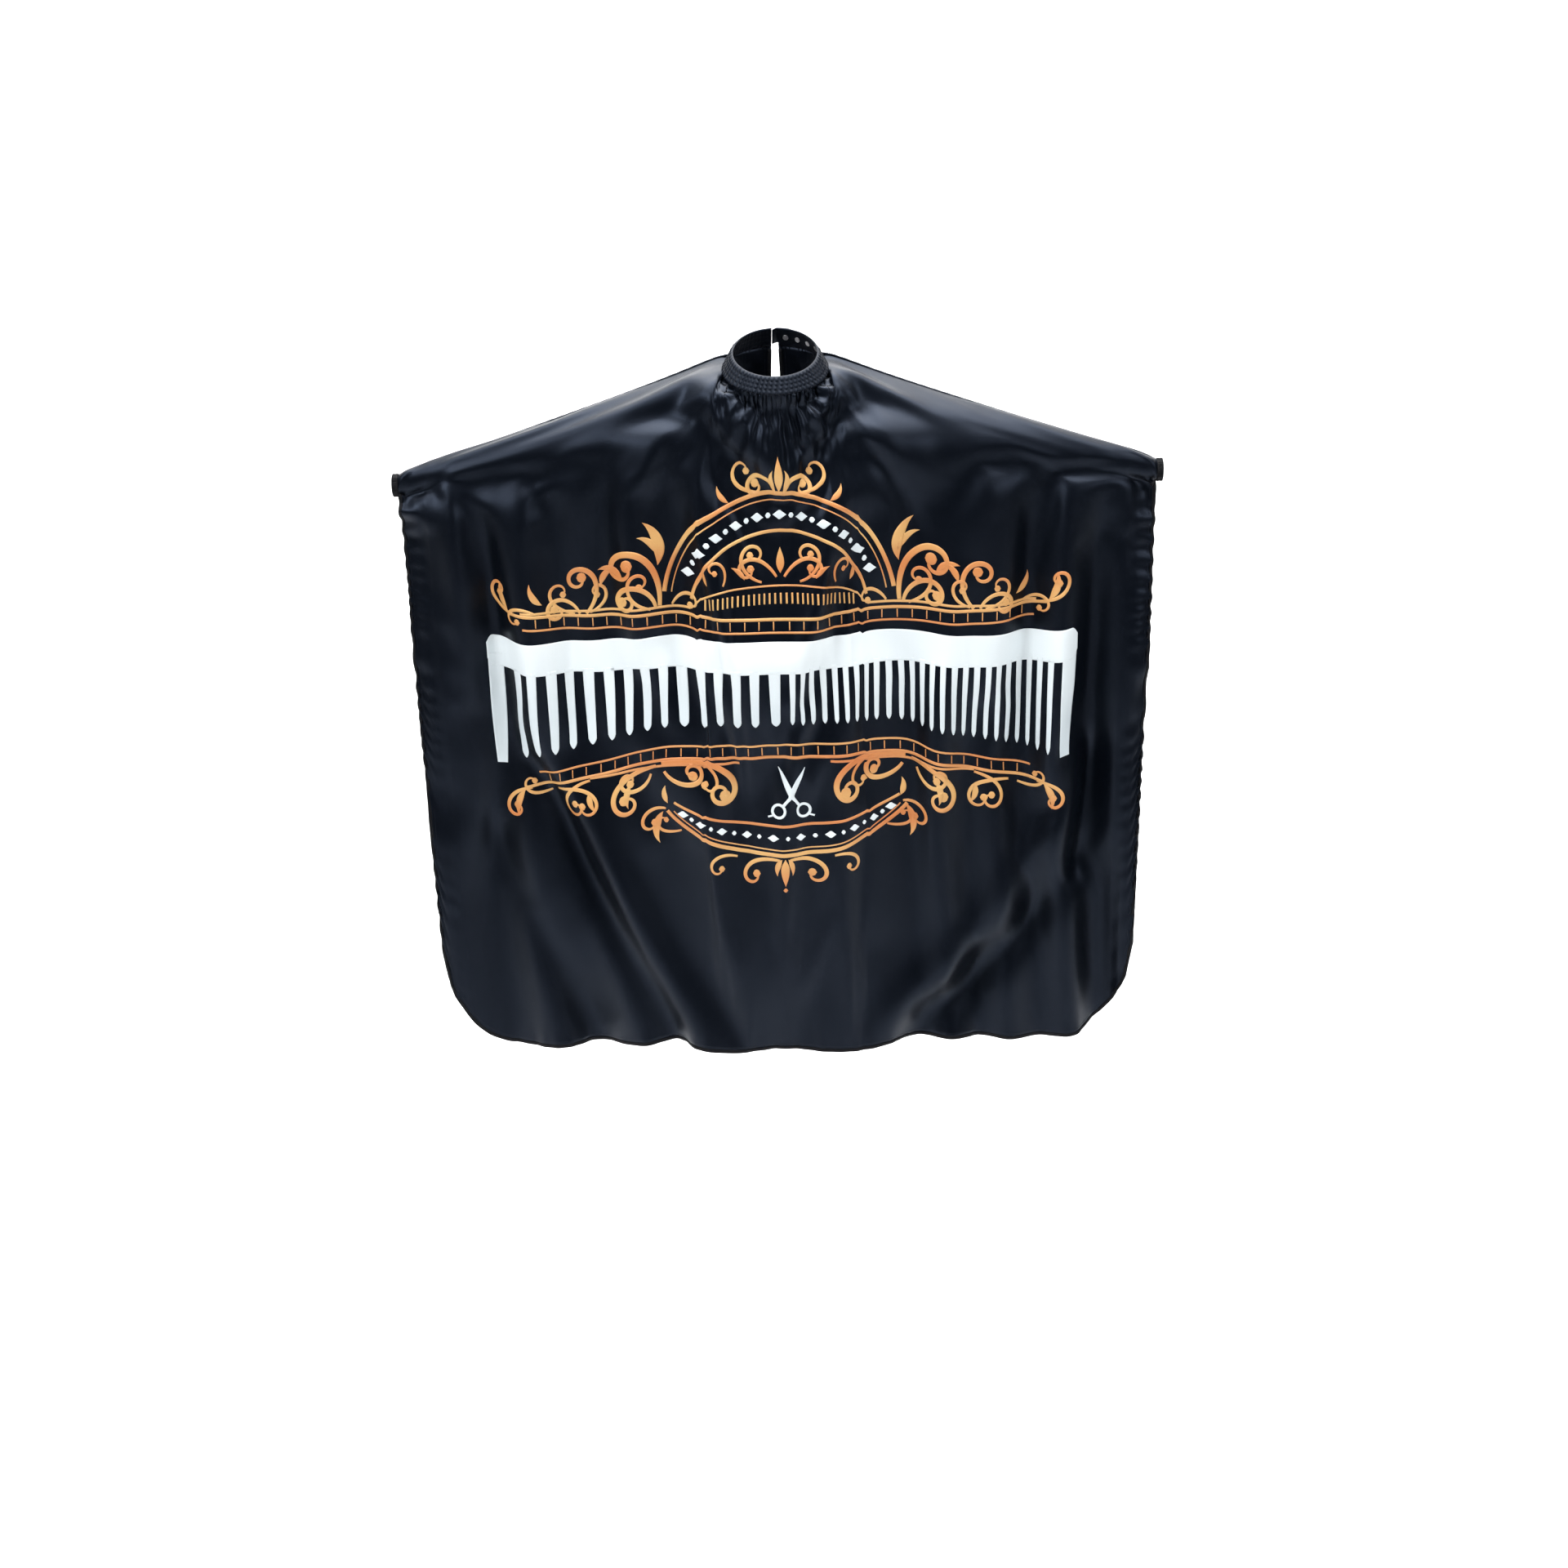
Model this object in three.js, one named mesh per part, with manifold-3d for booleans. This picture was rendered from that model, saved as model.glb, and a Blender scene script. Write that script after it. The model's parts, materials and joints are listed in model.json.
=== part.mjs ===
// Barber cape, spread by a wearer with both arms held out.
// Millimetres, +Z up. The origin is the middle of the neck opening; -Y is the wearer's front.
import * as THREE from 'three';
import { mergeVertices } from 'three/addons/utils/BufferGeometryUtils.js';
import Module from 'manifold-3d';

const wasm = await Module();
wasm.setup();

// ---- driving dimensions ----
const GAP = 0.3;                    // left between pieces that touch on the real cape
const CLOTH = 4;                    // thickness of the plain solids that stand for the satin

// The neckband lies between two leaning ellipses, front edge low.
const BAND_TOP = { halfWidth: 70, halfDepth: 82, lean: 24, y: 0, z: 0 };
const BAND_FOOT = { halfWidth: 86, halfDepth: 93.6, lean: 20, y: -1, z: -28 };
const BAND_THICKNESS = 3.6;
const BAND_WALL = 0.9;
const NECK_EDGE = 122;              // degrees from the front to where the ridge meets the band
const BAND_END = 176;               // degrees from the front to each end of the band
const CHANNEL_INSET = 0.05;         // share of the height sewn shut above and below the elastic's channel
const ELASTIC_THICKNESS = 1.2;
const ELASTIC_INSET = 0.08;
const ELASTIC_FROM = -150;
const ELASTIC_TO = 104;

// Press studs on the right end of the band, and the tab that closes over the first of them.
const STUD_ANGLES = [166, 150, 134, 118];
const TAB_ROOT = 183.4;
const TAB_TIP = 156.5;
const TAB_RISE = 7;                 // degrees over which the tab steps out over the band
const TAB_THICKNESS = 1.6;
const TAB_STANDOFF = 6.4;
const TAB_INSET = 0.08;             // bare share of the band's height above and below the tab
const TAB_TIP_TAPER = 0.24;         // more of the same at its rounded tip
const TAB_TIP_ROUND = 5;            // degrees of the band taken by the rounded tip

// The ridge of the cloth runs from beside the neck to the top of each wrist.
const NECK_X = 92;
const WRIST_X = 632;
const RIDGE_NECK_Z = -12;
const RIDGE_WRIST_Z = -188.6;
const RIDGE_GAP = 3;                // degrees from the ridge to each panel's edge
const SHOULDER = { y: 50, front: 75, back: 30, drop: 48 };
const WRIST = { y: 0, front: 17.5, back: 17.5, drop: 17.5 };

// Front panel below the arms.
const HEM_Z = -1194;
const HEM_CORNER = 130;
const SIDE_TAPER = 0.052;           // how far the sides close in from the wrists to the hem
const CHEST_Y = -88;
const SIDE_Y = -22;
const CHEST_SPREAD = 260;
const SEAM_DROP = 6.5;              // from the band's foot down to the edge of the plain cloth solids
const SEAM_OUT = 2;
const CHEST_FALL = 180;             // drop over which the cloth reaches its plumb line

// Back panels: the line on which each lower half swings, and the hem.
const SWING_NECK = new THREE.Vector3(0, 88, -48);
const SWING_WRIST = new THREE.Vector3(WRIST_X, 20, -240);
const SWING_GAP = 2;
const SLIT_HALF = 7;

const BACK_HEM_Z = -325;
const BACK_CORNER = 60;

const BINDING_GAP = 0.5;
const BINDING_WIDTH = 5;
const BINDING_THICKNESS = 4;
const CUFF_WIDTH = 9;
const CUFF_THICKNESS = 2;

// Press studs: radii, then plate thicknesses and heights.
const FLANGE_R = 4.75;
const HEAD_R = 2.1;
const NECK_R = 1.9;
const HEAD_CROWN_R = 1.7;
const SHAFT_R = 1.2;
const STUD_BORE_R = 1.55;
const SOCKET_MOUTH_R = 2.75;
const SOCKET_WALL_R = 4.2;
const SOCKET_BORE_R = 1.6;
const CAP_R = 6.2;
const SHANK_HOLE_R = 1.7;
const PLATE_THICKNESS = 0.6;
const POST_PLATE = 0.8;
const POST_CHAMFER = 0.4;
const STUD_NECK = 0.4;
const STUD_HEAD = 2.5;
const STUD_ROOF = 0.6;
const SOCKET_DEPTH = 2.2;
const SOCKET_WEB = 0.4;
const CAP_DOME = 1.7;
const DRILL_LENGTH = 16;
const ROUND = 18;

// ---- materials ----
function finish(colour, roughness, metalness = 0) {
  return new THREE.MeshStandardMaterial({ color: colour, roughness, metalness });
}
const satin = () => finish(0x1c202d, 0.5);
const tape = () => finish(0x0b0c10, 0.7);
const elastic = () => finish(0x101114, 0.85);
const nickel = () => finish(0xb9bcc2, 0.3, 1);

// ---- general builders ----
const radians = THREE.MathUtils.degToRad;
const mix = THREE.MathUtils.lerp;

function solid(points, triangles) {
  const geometry = new THREE.BufferGeometry();
  geometry.setAttribute('position', new THREE.Float32BufferAttribute(points.flatMap((p) => p.toArray()), 3));
  geometry.setIndex(triangles);
  return geometry;
}

// Unit normals of a grid of points, columns[i][j], pointing to the left of the way the columns go.
function gridNormals(columns) {
  const last = columns.length - 1;
  return columns.map((column, i) => column.map((point, j) => {
    const across = columns[Math.min(i + 1, last)][j].clone().sub(columns[Math.max(i - 1, 0)][j]);
    const down = column[Math.min(j + 1, column.length - 1)].clone().sub(column[Math.max(j - 1, 0)]);
    return down.cross(across).normalize();
  }));
}

// A plate of even thickness round a grid of points.
function plate(columns, thickness) {
  const normals = gridNormals(columns);
  const rows = columns[0].length;
  const points = [];
  for (const side of [0.5, -0.5]) {
    columns.forEach((column, i) => column.forEach((point, j) => {
      points.push(point.clone().addScaledVector(normals[i][j], side * thickness));
    }));
  }
  const half = columns.length * rows;
  const at = (i, j) => i * rows + j;
  const triangles = [];
  const quad = (a, b, c, d) => triangles.push(a, b, c, a, c, d);
  for (let i = 0; i < columns.length - 1; i += 1) {
    for (let j = 0; j < rows - 1; j += 1) {
      quad(at(i, j), at(i, j + 1), at(i + 1, j + 1), at(i + 1, j));
      quad(half + at(i, j), half + at(i + 1, j), half + at(i + 1, j + 1), half + at(i, j + 1));
    }
  }
  const rim = [];
  for (let j = 0; j < rows - 1; j += 1) rim.push(at(0, j));
  for (let i = 0; i < columns.length - 1; i += 1) rim.push(at(i, rows - 1));
  for (let j = rows - 1; j > 0; j -= 1) rim.push(at(columns.length - 1, j));
  for (let i = columns.length - 1; i > 0; i -= 1) rim.push(at(i, 0));
  rim.forEach((a, k) => {
    const b = rim[(k + 1) % rim.length];
    quad(a, half + a, half + b, b);
  });
  return solid(points, triangles);
}

// Rings of corner points joined one to the next; the ends are closed, or joined to each other.
function skin(rings, closed = false) {
  const size = rings[0].length;
  const triangles = [];
  const count = closed ? rings.length : rings.length - 1;
  for (let k = 0; k < count; k += 1) {
    const next = (k + 1) % rings.length;
    for (let c = 0; c < size; c += 1) {
      const d = (c + 1) % size;
      triangles.push(k * size + c, k * size + d, next * size + d);
      triangles.push(k * size + c, next * size + d, next * size + c);
    }
  }
  if (!closed) {
    const end = (rings.length - 1) * size;
    for (let c = 1; c < size - 1; c += 1) {
      triangles.push(0, c + 1, c);
      triangles.push(end, end + c, end + c + 1);
    }
  }
  return solid(rings.flat(), triangles);
}

function toManifold(geometry) {
  const bare = geometry.clone();
  bare.deleteAttribute('normal');
  bare.deleteAttribute('uv');
  const merged = mergeVertices(bare, 1e-4);
  const vertProperties = new Float32Array(merged.attributes.position.array);
  const triVerts = new Uint32Array(merged.index.array);
  return new wasm.Manifold(new wasm.Mesh({ numProp: 3, vertProperties, triVerts }));
}

function fromManifold(manifold) {
  const mesh = manifold.getMesh();
  const geometry = new THREE.BufferGeometry();
  geometry.setAttribute('position', new THREE.BufferAttribute(mesh.vertProperties, 3));
  geometry.setIndex(new THREE.BufferAttribute(mesh.triVerts, 1));
  return geometry;
}

const cape = new THREE.Group();

function add(name, geometry, material) {
  const mesh = new THREE.Mesh(geometry, material);
  mesh.name = name;
  cape.add(mesh);
  return mesh;
}

// ---- neckband ----
// Angle 0 is the wearer's front, 90 the +X side, 180 the back.
function ringPoint(ring, angle, out = 0) {
  const along = -(ring.halfDepth + out) * Math.cos(radians(angle));
  return new THREE.Vector3(
    (ring.halfWidth + out) * Math.sin(radians(angle)),
    ring.y + along * Math.cos(radians(ring.lean)),
    ring.z + along * Math.sin(radians(ring.lean)),
  );
}

const bandPoint = (angle, down, out) => ringPoint(BAND_TOP, angle, out).lerp(ringPoint(BAND_FOOT, angle, out), down);

// Direction out of the band's face, halfway down it.
function bandOut(angle) {
  const along = bandPoint(angle + 1, 0.5, 0).sub(bandPoint(angle - 1, 0.5, 0)).normalize();
  const down = bandPoint(angle, 1, 0).sub(bandPoint(angle, 0, 0)).normalize();
  return down.cross(along).normalize();
}

// A rectangle of the band's cross-section, as four corners.
function bandSection(angle, top, foot, inside, outside) {
  return [
    bandPoint(angle, top, outside),
    bandPoint(angle, foot, outside),
    bandPoint(angle, foot, inside),
    bandPoint(angle, top, inside),
  ];
}

function bandSweep(from, to, steps, top, foot, inside, outside) {
  const rings = [];
  for (let k = 0; k <= steps; k += 1) {
    rings.push(bandSection(mix(from, to, k / steps), top, foot, inside, outside));
  }
  return skin(rings);
}

function drill(angle, radius) {
  const cylinder = new THREE.CylinderGeometry(radius, radius, DRILL_LENGTH, ROUND);
  cylinder.applyQuaternion(new THREE.Quaternion().setFromUnitVectors(new THREE.Vector3(0, 1, 0), bandOut(angle)));
  const middle = bandPoint(angle, 0.5, 0);
  cylinder.translate(middle.x, middle.y, middle.z);
  return toManifold(cylinder);
}

function makeNeckband() {
  const half = BAND_THICKNESS / 2;
  const steps = 56;
  const hollow = half - BAND_WALL;
  let casing = toManifold(bandSweep(-BAND_END, BAND_END, steps, 0, 1, -half, half));
  const channel = bandSweep(
    -BAND_END - 2, BAND_END + 2, steps, CHANNEL_INSET, 1 - CHANNEL_INSET, -hollow, hollow,
  );
  casing = casing.subtract(toManifold(channel));
  for (const angle of STUD_ANGLES) casing = casing.subtract(drill(angle, SHANK_HOLE_R));
  add('neckband', fromManifold(casing), satin());

  const core = ELASTIC_THICKNESS / 2;
  const elasticSteps = 42;
  add(
    'neckband_elastic',
    bandSweep(ELASTIC_FROM, ELASTIC_TO, elasticSteps, ELASTIC_INSET, 1 - ELASTIC_INSET, -core, core),
    elastic(),
  );
}

// ---- press studs and closure tab ----

// A turned piece on the band's outward line, with heights measured from its middle surface.
function turned(name, angle, profile) {
  const geometry = new THREE.LatheGeometry(profile.map(([r, h]) => new THREE.Vector2(r, h)), ROUND);
  const mesh = add(name, geometry, nickel());
  mesh.position.copy(bandPoint(angle, 0.5, 0));
  mesh.quaternion.setFromUnitVectors(new THREE.Vector3(0, 1, 0), bandOut(angle));
}

function makeStud(number, angle) {
  const face = BAND_THICKNESS / 2 + GAP;
  const shoulder = face + PLATE_THICKNESS + 0.2;
  const top = face + STUD_HEAD;
  const bore = top - STUD_ROOF;
  turned(`snap_stud_${number}`, angle, [
    [STUD_BORE_R, face], [FLANGE_R, face], [FLANGE_R, face + PLATE_THICKNESS], [NECK_R, shoulder],
    [NECK_R, shoulder + STUD_NECK], [HEAD_R, top - 0.8], [HEAD_CROWN_R, top - 0.1],
    [0, top], [0, bore], [STUD_BORE_R, bore], [STUD_BORE_R, face],
  ]);
  turned(`snap_post_${number}`, angle, [
    [0, -face - POST_PLATE], [FLANGE_R - POST_CHAMFER, -face - POST_PLATE],
    [FLANGE_R, -face - POST_PLATE + 0.3], [FLANGE_R, -face], [SHAFT_R, -face],
    [SHAFT_R, bore - POST_CHAMFER], [0, bore - POST_CHAMFER],
  ]);
}

function tabColumns() {
  const columns = [];
  const steps = 14;
  for (let k = 0; k <= steps; k += 1) {
    const angle = mix(TAB_ROOT, TAB_TIP, k / steps);
    const rise = THREE.MathUtils.smoothstep(TAB_ROOT - angle, 0, TAB_RISE);
    const fromTip = angle - TAB_TIP;
    const share = Math.max(0, (TAB_TIP_ROUND - fromTip) / TAB_TIP_ROUND);
    const top = TAB_INSET + TAB_TIP_TAPER * (1 - Math.sqrt(1 - share ** 2));
    const column = [];
    for (let j = 0; j <= 3; j += 1) {
      column.push(bandPoint(angle, mix(top, 1 - top, j / 3), TAB_STANDOFF * rise));
    }
    columns.push(column);
  }
  return columns;
}

function makeClosure() {
  const snapAngle = STUD_ANGLES[0];
  const tab = toManifold(plate(tabColumns(), TAB_THICKNESS)).subtract(drill(snapAngle, SHANK_HOLE_R));
  add('closure_tab', fromManifold(tab), satin());

  const clear = TAB_THICKNESS / 2 + GAP + 0.1;
  const inner = TAB_STANDOFF - clear;
  const outer = TAB_STANDOFF + clear;
  const mouth = inner - SOCKET_DEPTH;
  turned('snap_socket', snapAngle, [
    [SOCKET_BORE_R, inner - SOCKET_WEB], [SOCKET_MOUTH_R, inner - SOCKET_WEB], [SOCKET_MOUTH_R, mouth],
    [SOCKET_WALL_R, mouth], [FLANGE_R, mouth + 0.4], [FLANGE_R, inner], [SOCKET_BORE_R, inner],
    [SOCKET_BORE_R, inner - SOCKET_WEB],
  ]);
  turned('snap_cap', snapAngle, [
    [0, inner - 0.35], [SHAFT_R, inner - 0.35], [SHAFT_R, outer], [CAP_R, outer],
    [CAP_R, outer + PLATE_THICKNESS], [CAP_R * 0.75, outer + CAP_DOME - 0.4],
    [CAP_R * 0.4, outer + CAP_DOME - 0.1], [0, outer + CAP_DOME],
  ]);
  STUD_ANGLES.forEach((angle, k) => makeStud(k + 1, angle));
}

// ---- cloth over the arms ----
// Where the cloth lies across one arm: ridge height, and the half-oval that it makes.
function armSection(x) {
  const k = (Math.abs(x) - NECK_X) / (WRIST_X - NECK_X);
  return {
    top: mix(RIDGE_NECK_Z, RIDGE_WRIST_Z, k),
    y: mix(SHOULDER.y, WRIST.y, k),
    front: mix(SHOULDER.front, WRIST.front, k),
    back: mix(SHOULDER.back, WRIST.back, k),
    drop: mix(SHOULDER.drop, WRIST.drop, k),
  };
}

const chestY = (x) => SIDE_Y + (CHEST_Y - SIDE_Y) * Math.exp(-((x / CHEST_SPREAD) ** 2));

function hemZ(x) {
  const inside = Math.abs(x) - (WRIST_X - HEM_CORNER);
  if (inside <= 0) return HEM_Z;
  return HEM_Z + HEM_CORNER - Math.sqrt(Math.max(0, HEM_CORNER ** 2 - inside ** 2));
}

const ROW_CROWDING = 1.15;          // above 1, rows stand closer together near the top

function frontFall(x, from, rows) {
  const column = [];
  for (let j = 1; j <= rows; j += 1) {
    const z = mix(from.z, hemZ(x), (j / rows) ** ROW_CROWDING);
    const settle = THREE.MathUtils.smoothstep(from.z - z, 0, CHEST_FALL);
    const taper = 1 - SIDE_TAPER * (from.z - z) / (RIDGE_WRIST_Z - HEM_Z);
    column.push(new THREE.Vector3(from.x * taper, mix(from.y, chestY(x), settle), z));
  }
  return column;
}

const CORNER_STEPS = 5;

// Distances from the middle of the panel to its columns, on one side and over the arm.
function armStations(corner, outer) {
  const stations = [];
  for (let k = 0; k <= CORNER_STEPS; k += 1) {
    stations.push(WRIST_X - corner * (1 - Math.cos(radians((90 * k) / CORNER_STEPS))));
  }
  for (let k = 1; k <= outer; k += 1) stations.push(mix(WRIST_X - corner, NECK_X, k / outer));
  return stations;
}

const FRONT_ROWS = 12;
const ROUND_ROWS = 4;
const ARM_COLUMNS = 8;
const NECK_COLUMN_ANGLES = [-116, -104, -90, -75, -60, -45, -30, -15, 0, 15, 30, 45, 60, 75, 90, 104, 116];
const NECK_SIDE_X = 80;             // how far out the cloth passes beside the neck
const NECK_SIDE_ANGLE = 75;
const THROAT_OUT = 3;               // the cloth's first slope under the front of the band
const THROAT_DROP = 14;

function frontArmColumn(x) {
  const arm = armSection(x);
  const column = [];
  for (let j = 0; j <= ROUND_ROWS; j += 1) {
    const turn = radians(mix(RIDGE_GAP, 90, j / ROUND_ROWS));
    const y = arm.y - arm.front * Math.sin(turn);
    column.push(new THREE.Vector3(x, y, arm.top - arm.drop * (1 - Math.cos(turn))));
  }
  return column.concat(frontFall(x, column[ROUND_ROWS], FRONT_ROWS));
}

// Beside the neck the cloth turns from the band's foot towards the front of the shoulder.
function frontNeckColumn(angle) {
  const side = Math.sign(angle);
  const turned = Math.abs(angle);
  const arm = armSection(NECK_X);
  const seam = bandPoint(angle, 1, SEAM_OUT);
  seam.z -= SEAM_DROP;
  const below = seam.clone().add(new THREE.Vector3(0, -THROAT_OUT, -THROAT_DROP));
  const sideways = (turned - NECK_SIDE_ANGLE) / (NECK_EDGE - NECK_SIDE_ANGLE);
  const shoulderX = side * mix(NECK_SIDE_X, NECK_X, sideways);
  const shoulder = new THREE.Vector3(shoulderX, arm.y - arm.front, arm.top - arm.drop);
  below.lerp(shoulder, THREE.MathUtils.smoothstep(turned, 50, 100));
  const column = [];
  for (let j = 0; j <= ROUND_ROWS; j += 1) column.push(seam.clone().lerp(below, j / ROUND_ROWS));
  return column.concat(frontFall(below.x, column[ROUND_ROWS], FRONT_ROWS));
}

function frontColumns() {
  const stations = armStations(HEM_CORNER, ARM_COLUMNS);
  return [
    ...stations.map((x) => frontArmColumn(-x)),
    ...NECK_COLUMN_ANGLES.map(frontNeckColumn),
    ...stations.toReversed().map(frontArmColumn),
  ];
}

// ---- back panels ----
const swingPoint = (x) => SWING_NECK.clone().lerp(SWING_WRIST, Math.abs(x) / WRIST_X);

const YOKE_ROWS = 3;
const YOKE_STATIONS = [WRIST_X, 560, 470, 380, 290, 200, 140, NECK_X, 71, 58, 42, 22, SLIT_HALF];
const NAPE_REACH = 0.6;             // share of the way to the swing line that the nape's rows cover
const NAPE_SWELL = 1.5;

function yokeColumn(x, side) {
  const foot = swingPoint(x);
  foot.z += SWING_GAP;
  foot.x *= side;
  const column = [];
  if (x >= NECK_X) {
    const arm = armSection(x);
    for (let j = 0; j <= YOKE_ROWS; j += 1) {
      const turn = radians(mix(RIDGE_GAP, 90, j / YOKE_ROWS));
      const y = arm.y + arm.back * Math.sin(turn);
      column.push(new THREE.Vector3(side * x, y, arm.top - arm.drop * (1 - Math.cos(turn))));
    }
  } else {
    const angle = 180 - THREE.MathUtils.radToDeg(Math.asin(x / BAND_FOOT.halfWidth));
    const seam = bandPoint(angle, 1, SEAM_OUT);
    seam.z -= SEAM_DROP;
    seam.x *= side;
    for (let j = 0; j <= YOKE_ROWS; j += 1) {
      const point = seam.clone().lerp(foot, (NAPE_REACH * j) / YOKE_ROWS);
      point.y += NAPE_SWELL * j;
      column.push(point);
    }
  }
  column.push(column[YOKE_ROWS].clone().lerp(foot, 0.5), foot);
  return column;
}

function yokeColumns(side) {
  const columns = YOKE_STATIONS.map((x) => yokeColumn(x, side));
  return side > 0 ? columns : columns.toReversed();
}

const FLAP_ROWS = 4;
const FLAP_CORNER_STEPS = 4;
const FLAP_COLUMNS = 7;

function flapColumns(side) {
  const stations = [];
  for (let k = 0; k <= FLAP_CORNER_STEPS; k += 1) {
    stations.push(WRIST_X - BACK_CORNER * (1 - Math.cos(radians((90 * k) / FLAP_CORNER_STEPS))));
  }
  for (let k = 1; k <= FLAP_COLUMNS; k += 1) {
    stations.push(mix(WRIST_X - BACK_CORNER, SLIT_HALF, k / FLAP_COLUMNS));
  }
  const columns = stations.map((x) => {
    const head = swingPoint(x);
    head.z -= SWING_GAP;
    head.x *= side;
    const inside = Math.max(0, x - (WRIST_X - BACK_CORNER));
    const foot = BACK_HEM_Z + BACK_CORNER - Math.sqrt(BACK_CORNER ** 2 - inside ** 2);
    const column = [];
    for (let j = 0; j <= FLAP_ROWS; j += 1) {
      column.push(new THREE.Vector3(head.x, head.y, mix(head.z, foot, j / FLAP_ROWS)));
    }
    return column;
  });
  return side > 0 ? columns : columns.toReversed();
}

// ---- bindings and wrist elastics ----
// A tape that runs round the edge of a panel, along a chain of its edge points.
function edgeTape(chain) {
  const offset = BINDING_GAP + BINDING_WIDTH / 2;
  const rings = chain.map(({ point, normal }, k) => {
    const before = chain[Math.max(k - 1, 0)].point;
    const after = chain[Math.min(k + 1, chain.length - 1)].point;
    const along = after.clone().sub(before).normalize();
    const outward = along.clone().cross(normal).normalize();
    const middle = point.clone().addScaledVector(outward, offset);
    const corner = (w, t) => middle.clone()
      .addScaledVector(outward, w * BINDING_WIDTH / 2)
      .addScaledVector(normal, t * BINDING_THICKNESS / 2);
    return [corner(1, 1), corner(1, -1), corner(-1, -1), corner(-1, 1)];
  });
  return skin(rings);
}

// The edge of a grid from one column's row, down it, along the foot and up the last column.
function edgeChain(columns, firstRow, lastRow) {
  const normals = gridNormals(columns);
  const end = columns[0].length - 1;
  const last = columns.length - 1;
  const chain = [];
  const take = (i, j) => chain.push({ point: columns[i][j], normal: normals[i][j] });
  for (let j = firstRow; j < end; j += 1) take(0, j);
  for (let i = 0; i <= last; i += 1) take(i, end);
  for (let j = end - 1; j >= lastRow; j -= 1) take(last, j);
  return chain;
}

function makeCuff(name, side) {
  const rings = [];
  const steps = 28;
  const middle = side * (WRIST_X + 1 + CUFF_WIDTH / 2);
  for (let k = 0; k < steps; k += 1) {
    const turn = (2 * Math.PI * k) / steps;
    const corner = (x, r) => new THREE.Vector3(
      middle + x * CUFF_WIDTH / 2,
      (WRIST.front + r * CUFF_THICKNESS / 2) * Math.cos(turn),
      RIDGE_WRIST_Z - WRIST.drop + (WRIST.drop + r * CUFF_THICKNESS / 2) * Math.sin(turn),
    );
    rings.push([corner(-1, 1), corner(-1, -1), corner(1, -1), corner(1, 1)]);
  }
  add(name, skin(rings, true), elastic());
}

function makeBody() {
  const front = frontColumns();
  add('front_panel', plate(front, CLOTH), satin());
  add('front_binding', edgeTape(edgeChain(front, ROUND_ROWS + 1, ROUND_ROWS + 1)), tape());
  for (const [word, side] of [['right', 1], ['left', -1]]) {
    add(`back_yoke_${word}`, plate(yokeColumns(side), CLOTH), satin());
    const flap = flapColumns(side);
    add(`back_flap_${word}`, plate(flap, CLOTH), satin());
    add(`back_binding_${word}`, edgeTape(edgeChain(flap, 0, 0)), tape());
    makeCuff(`wrist_elastic_${word}`, side);
  }
}

makeNeckband();
makeClosure();
makeBody();

export default cape;
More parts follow.
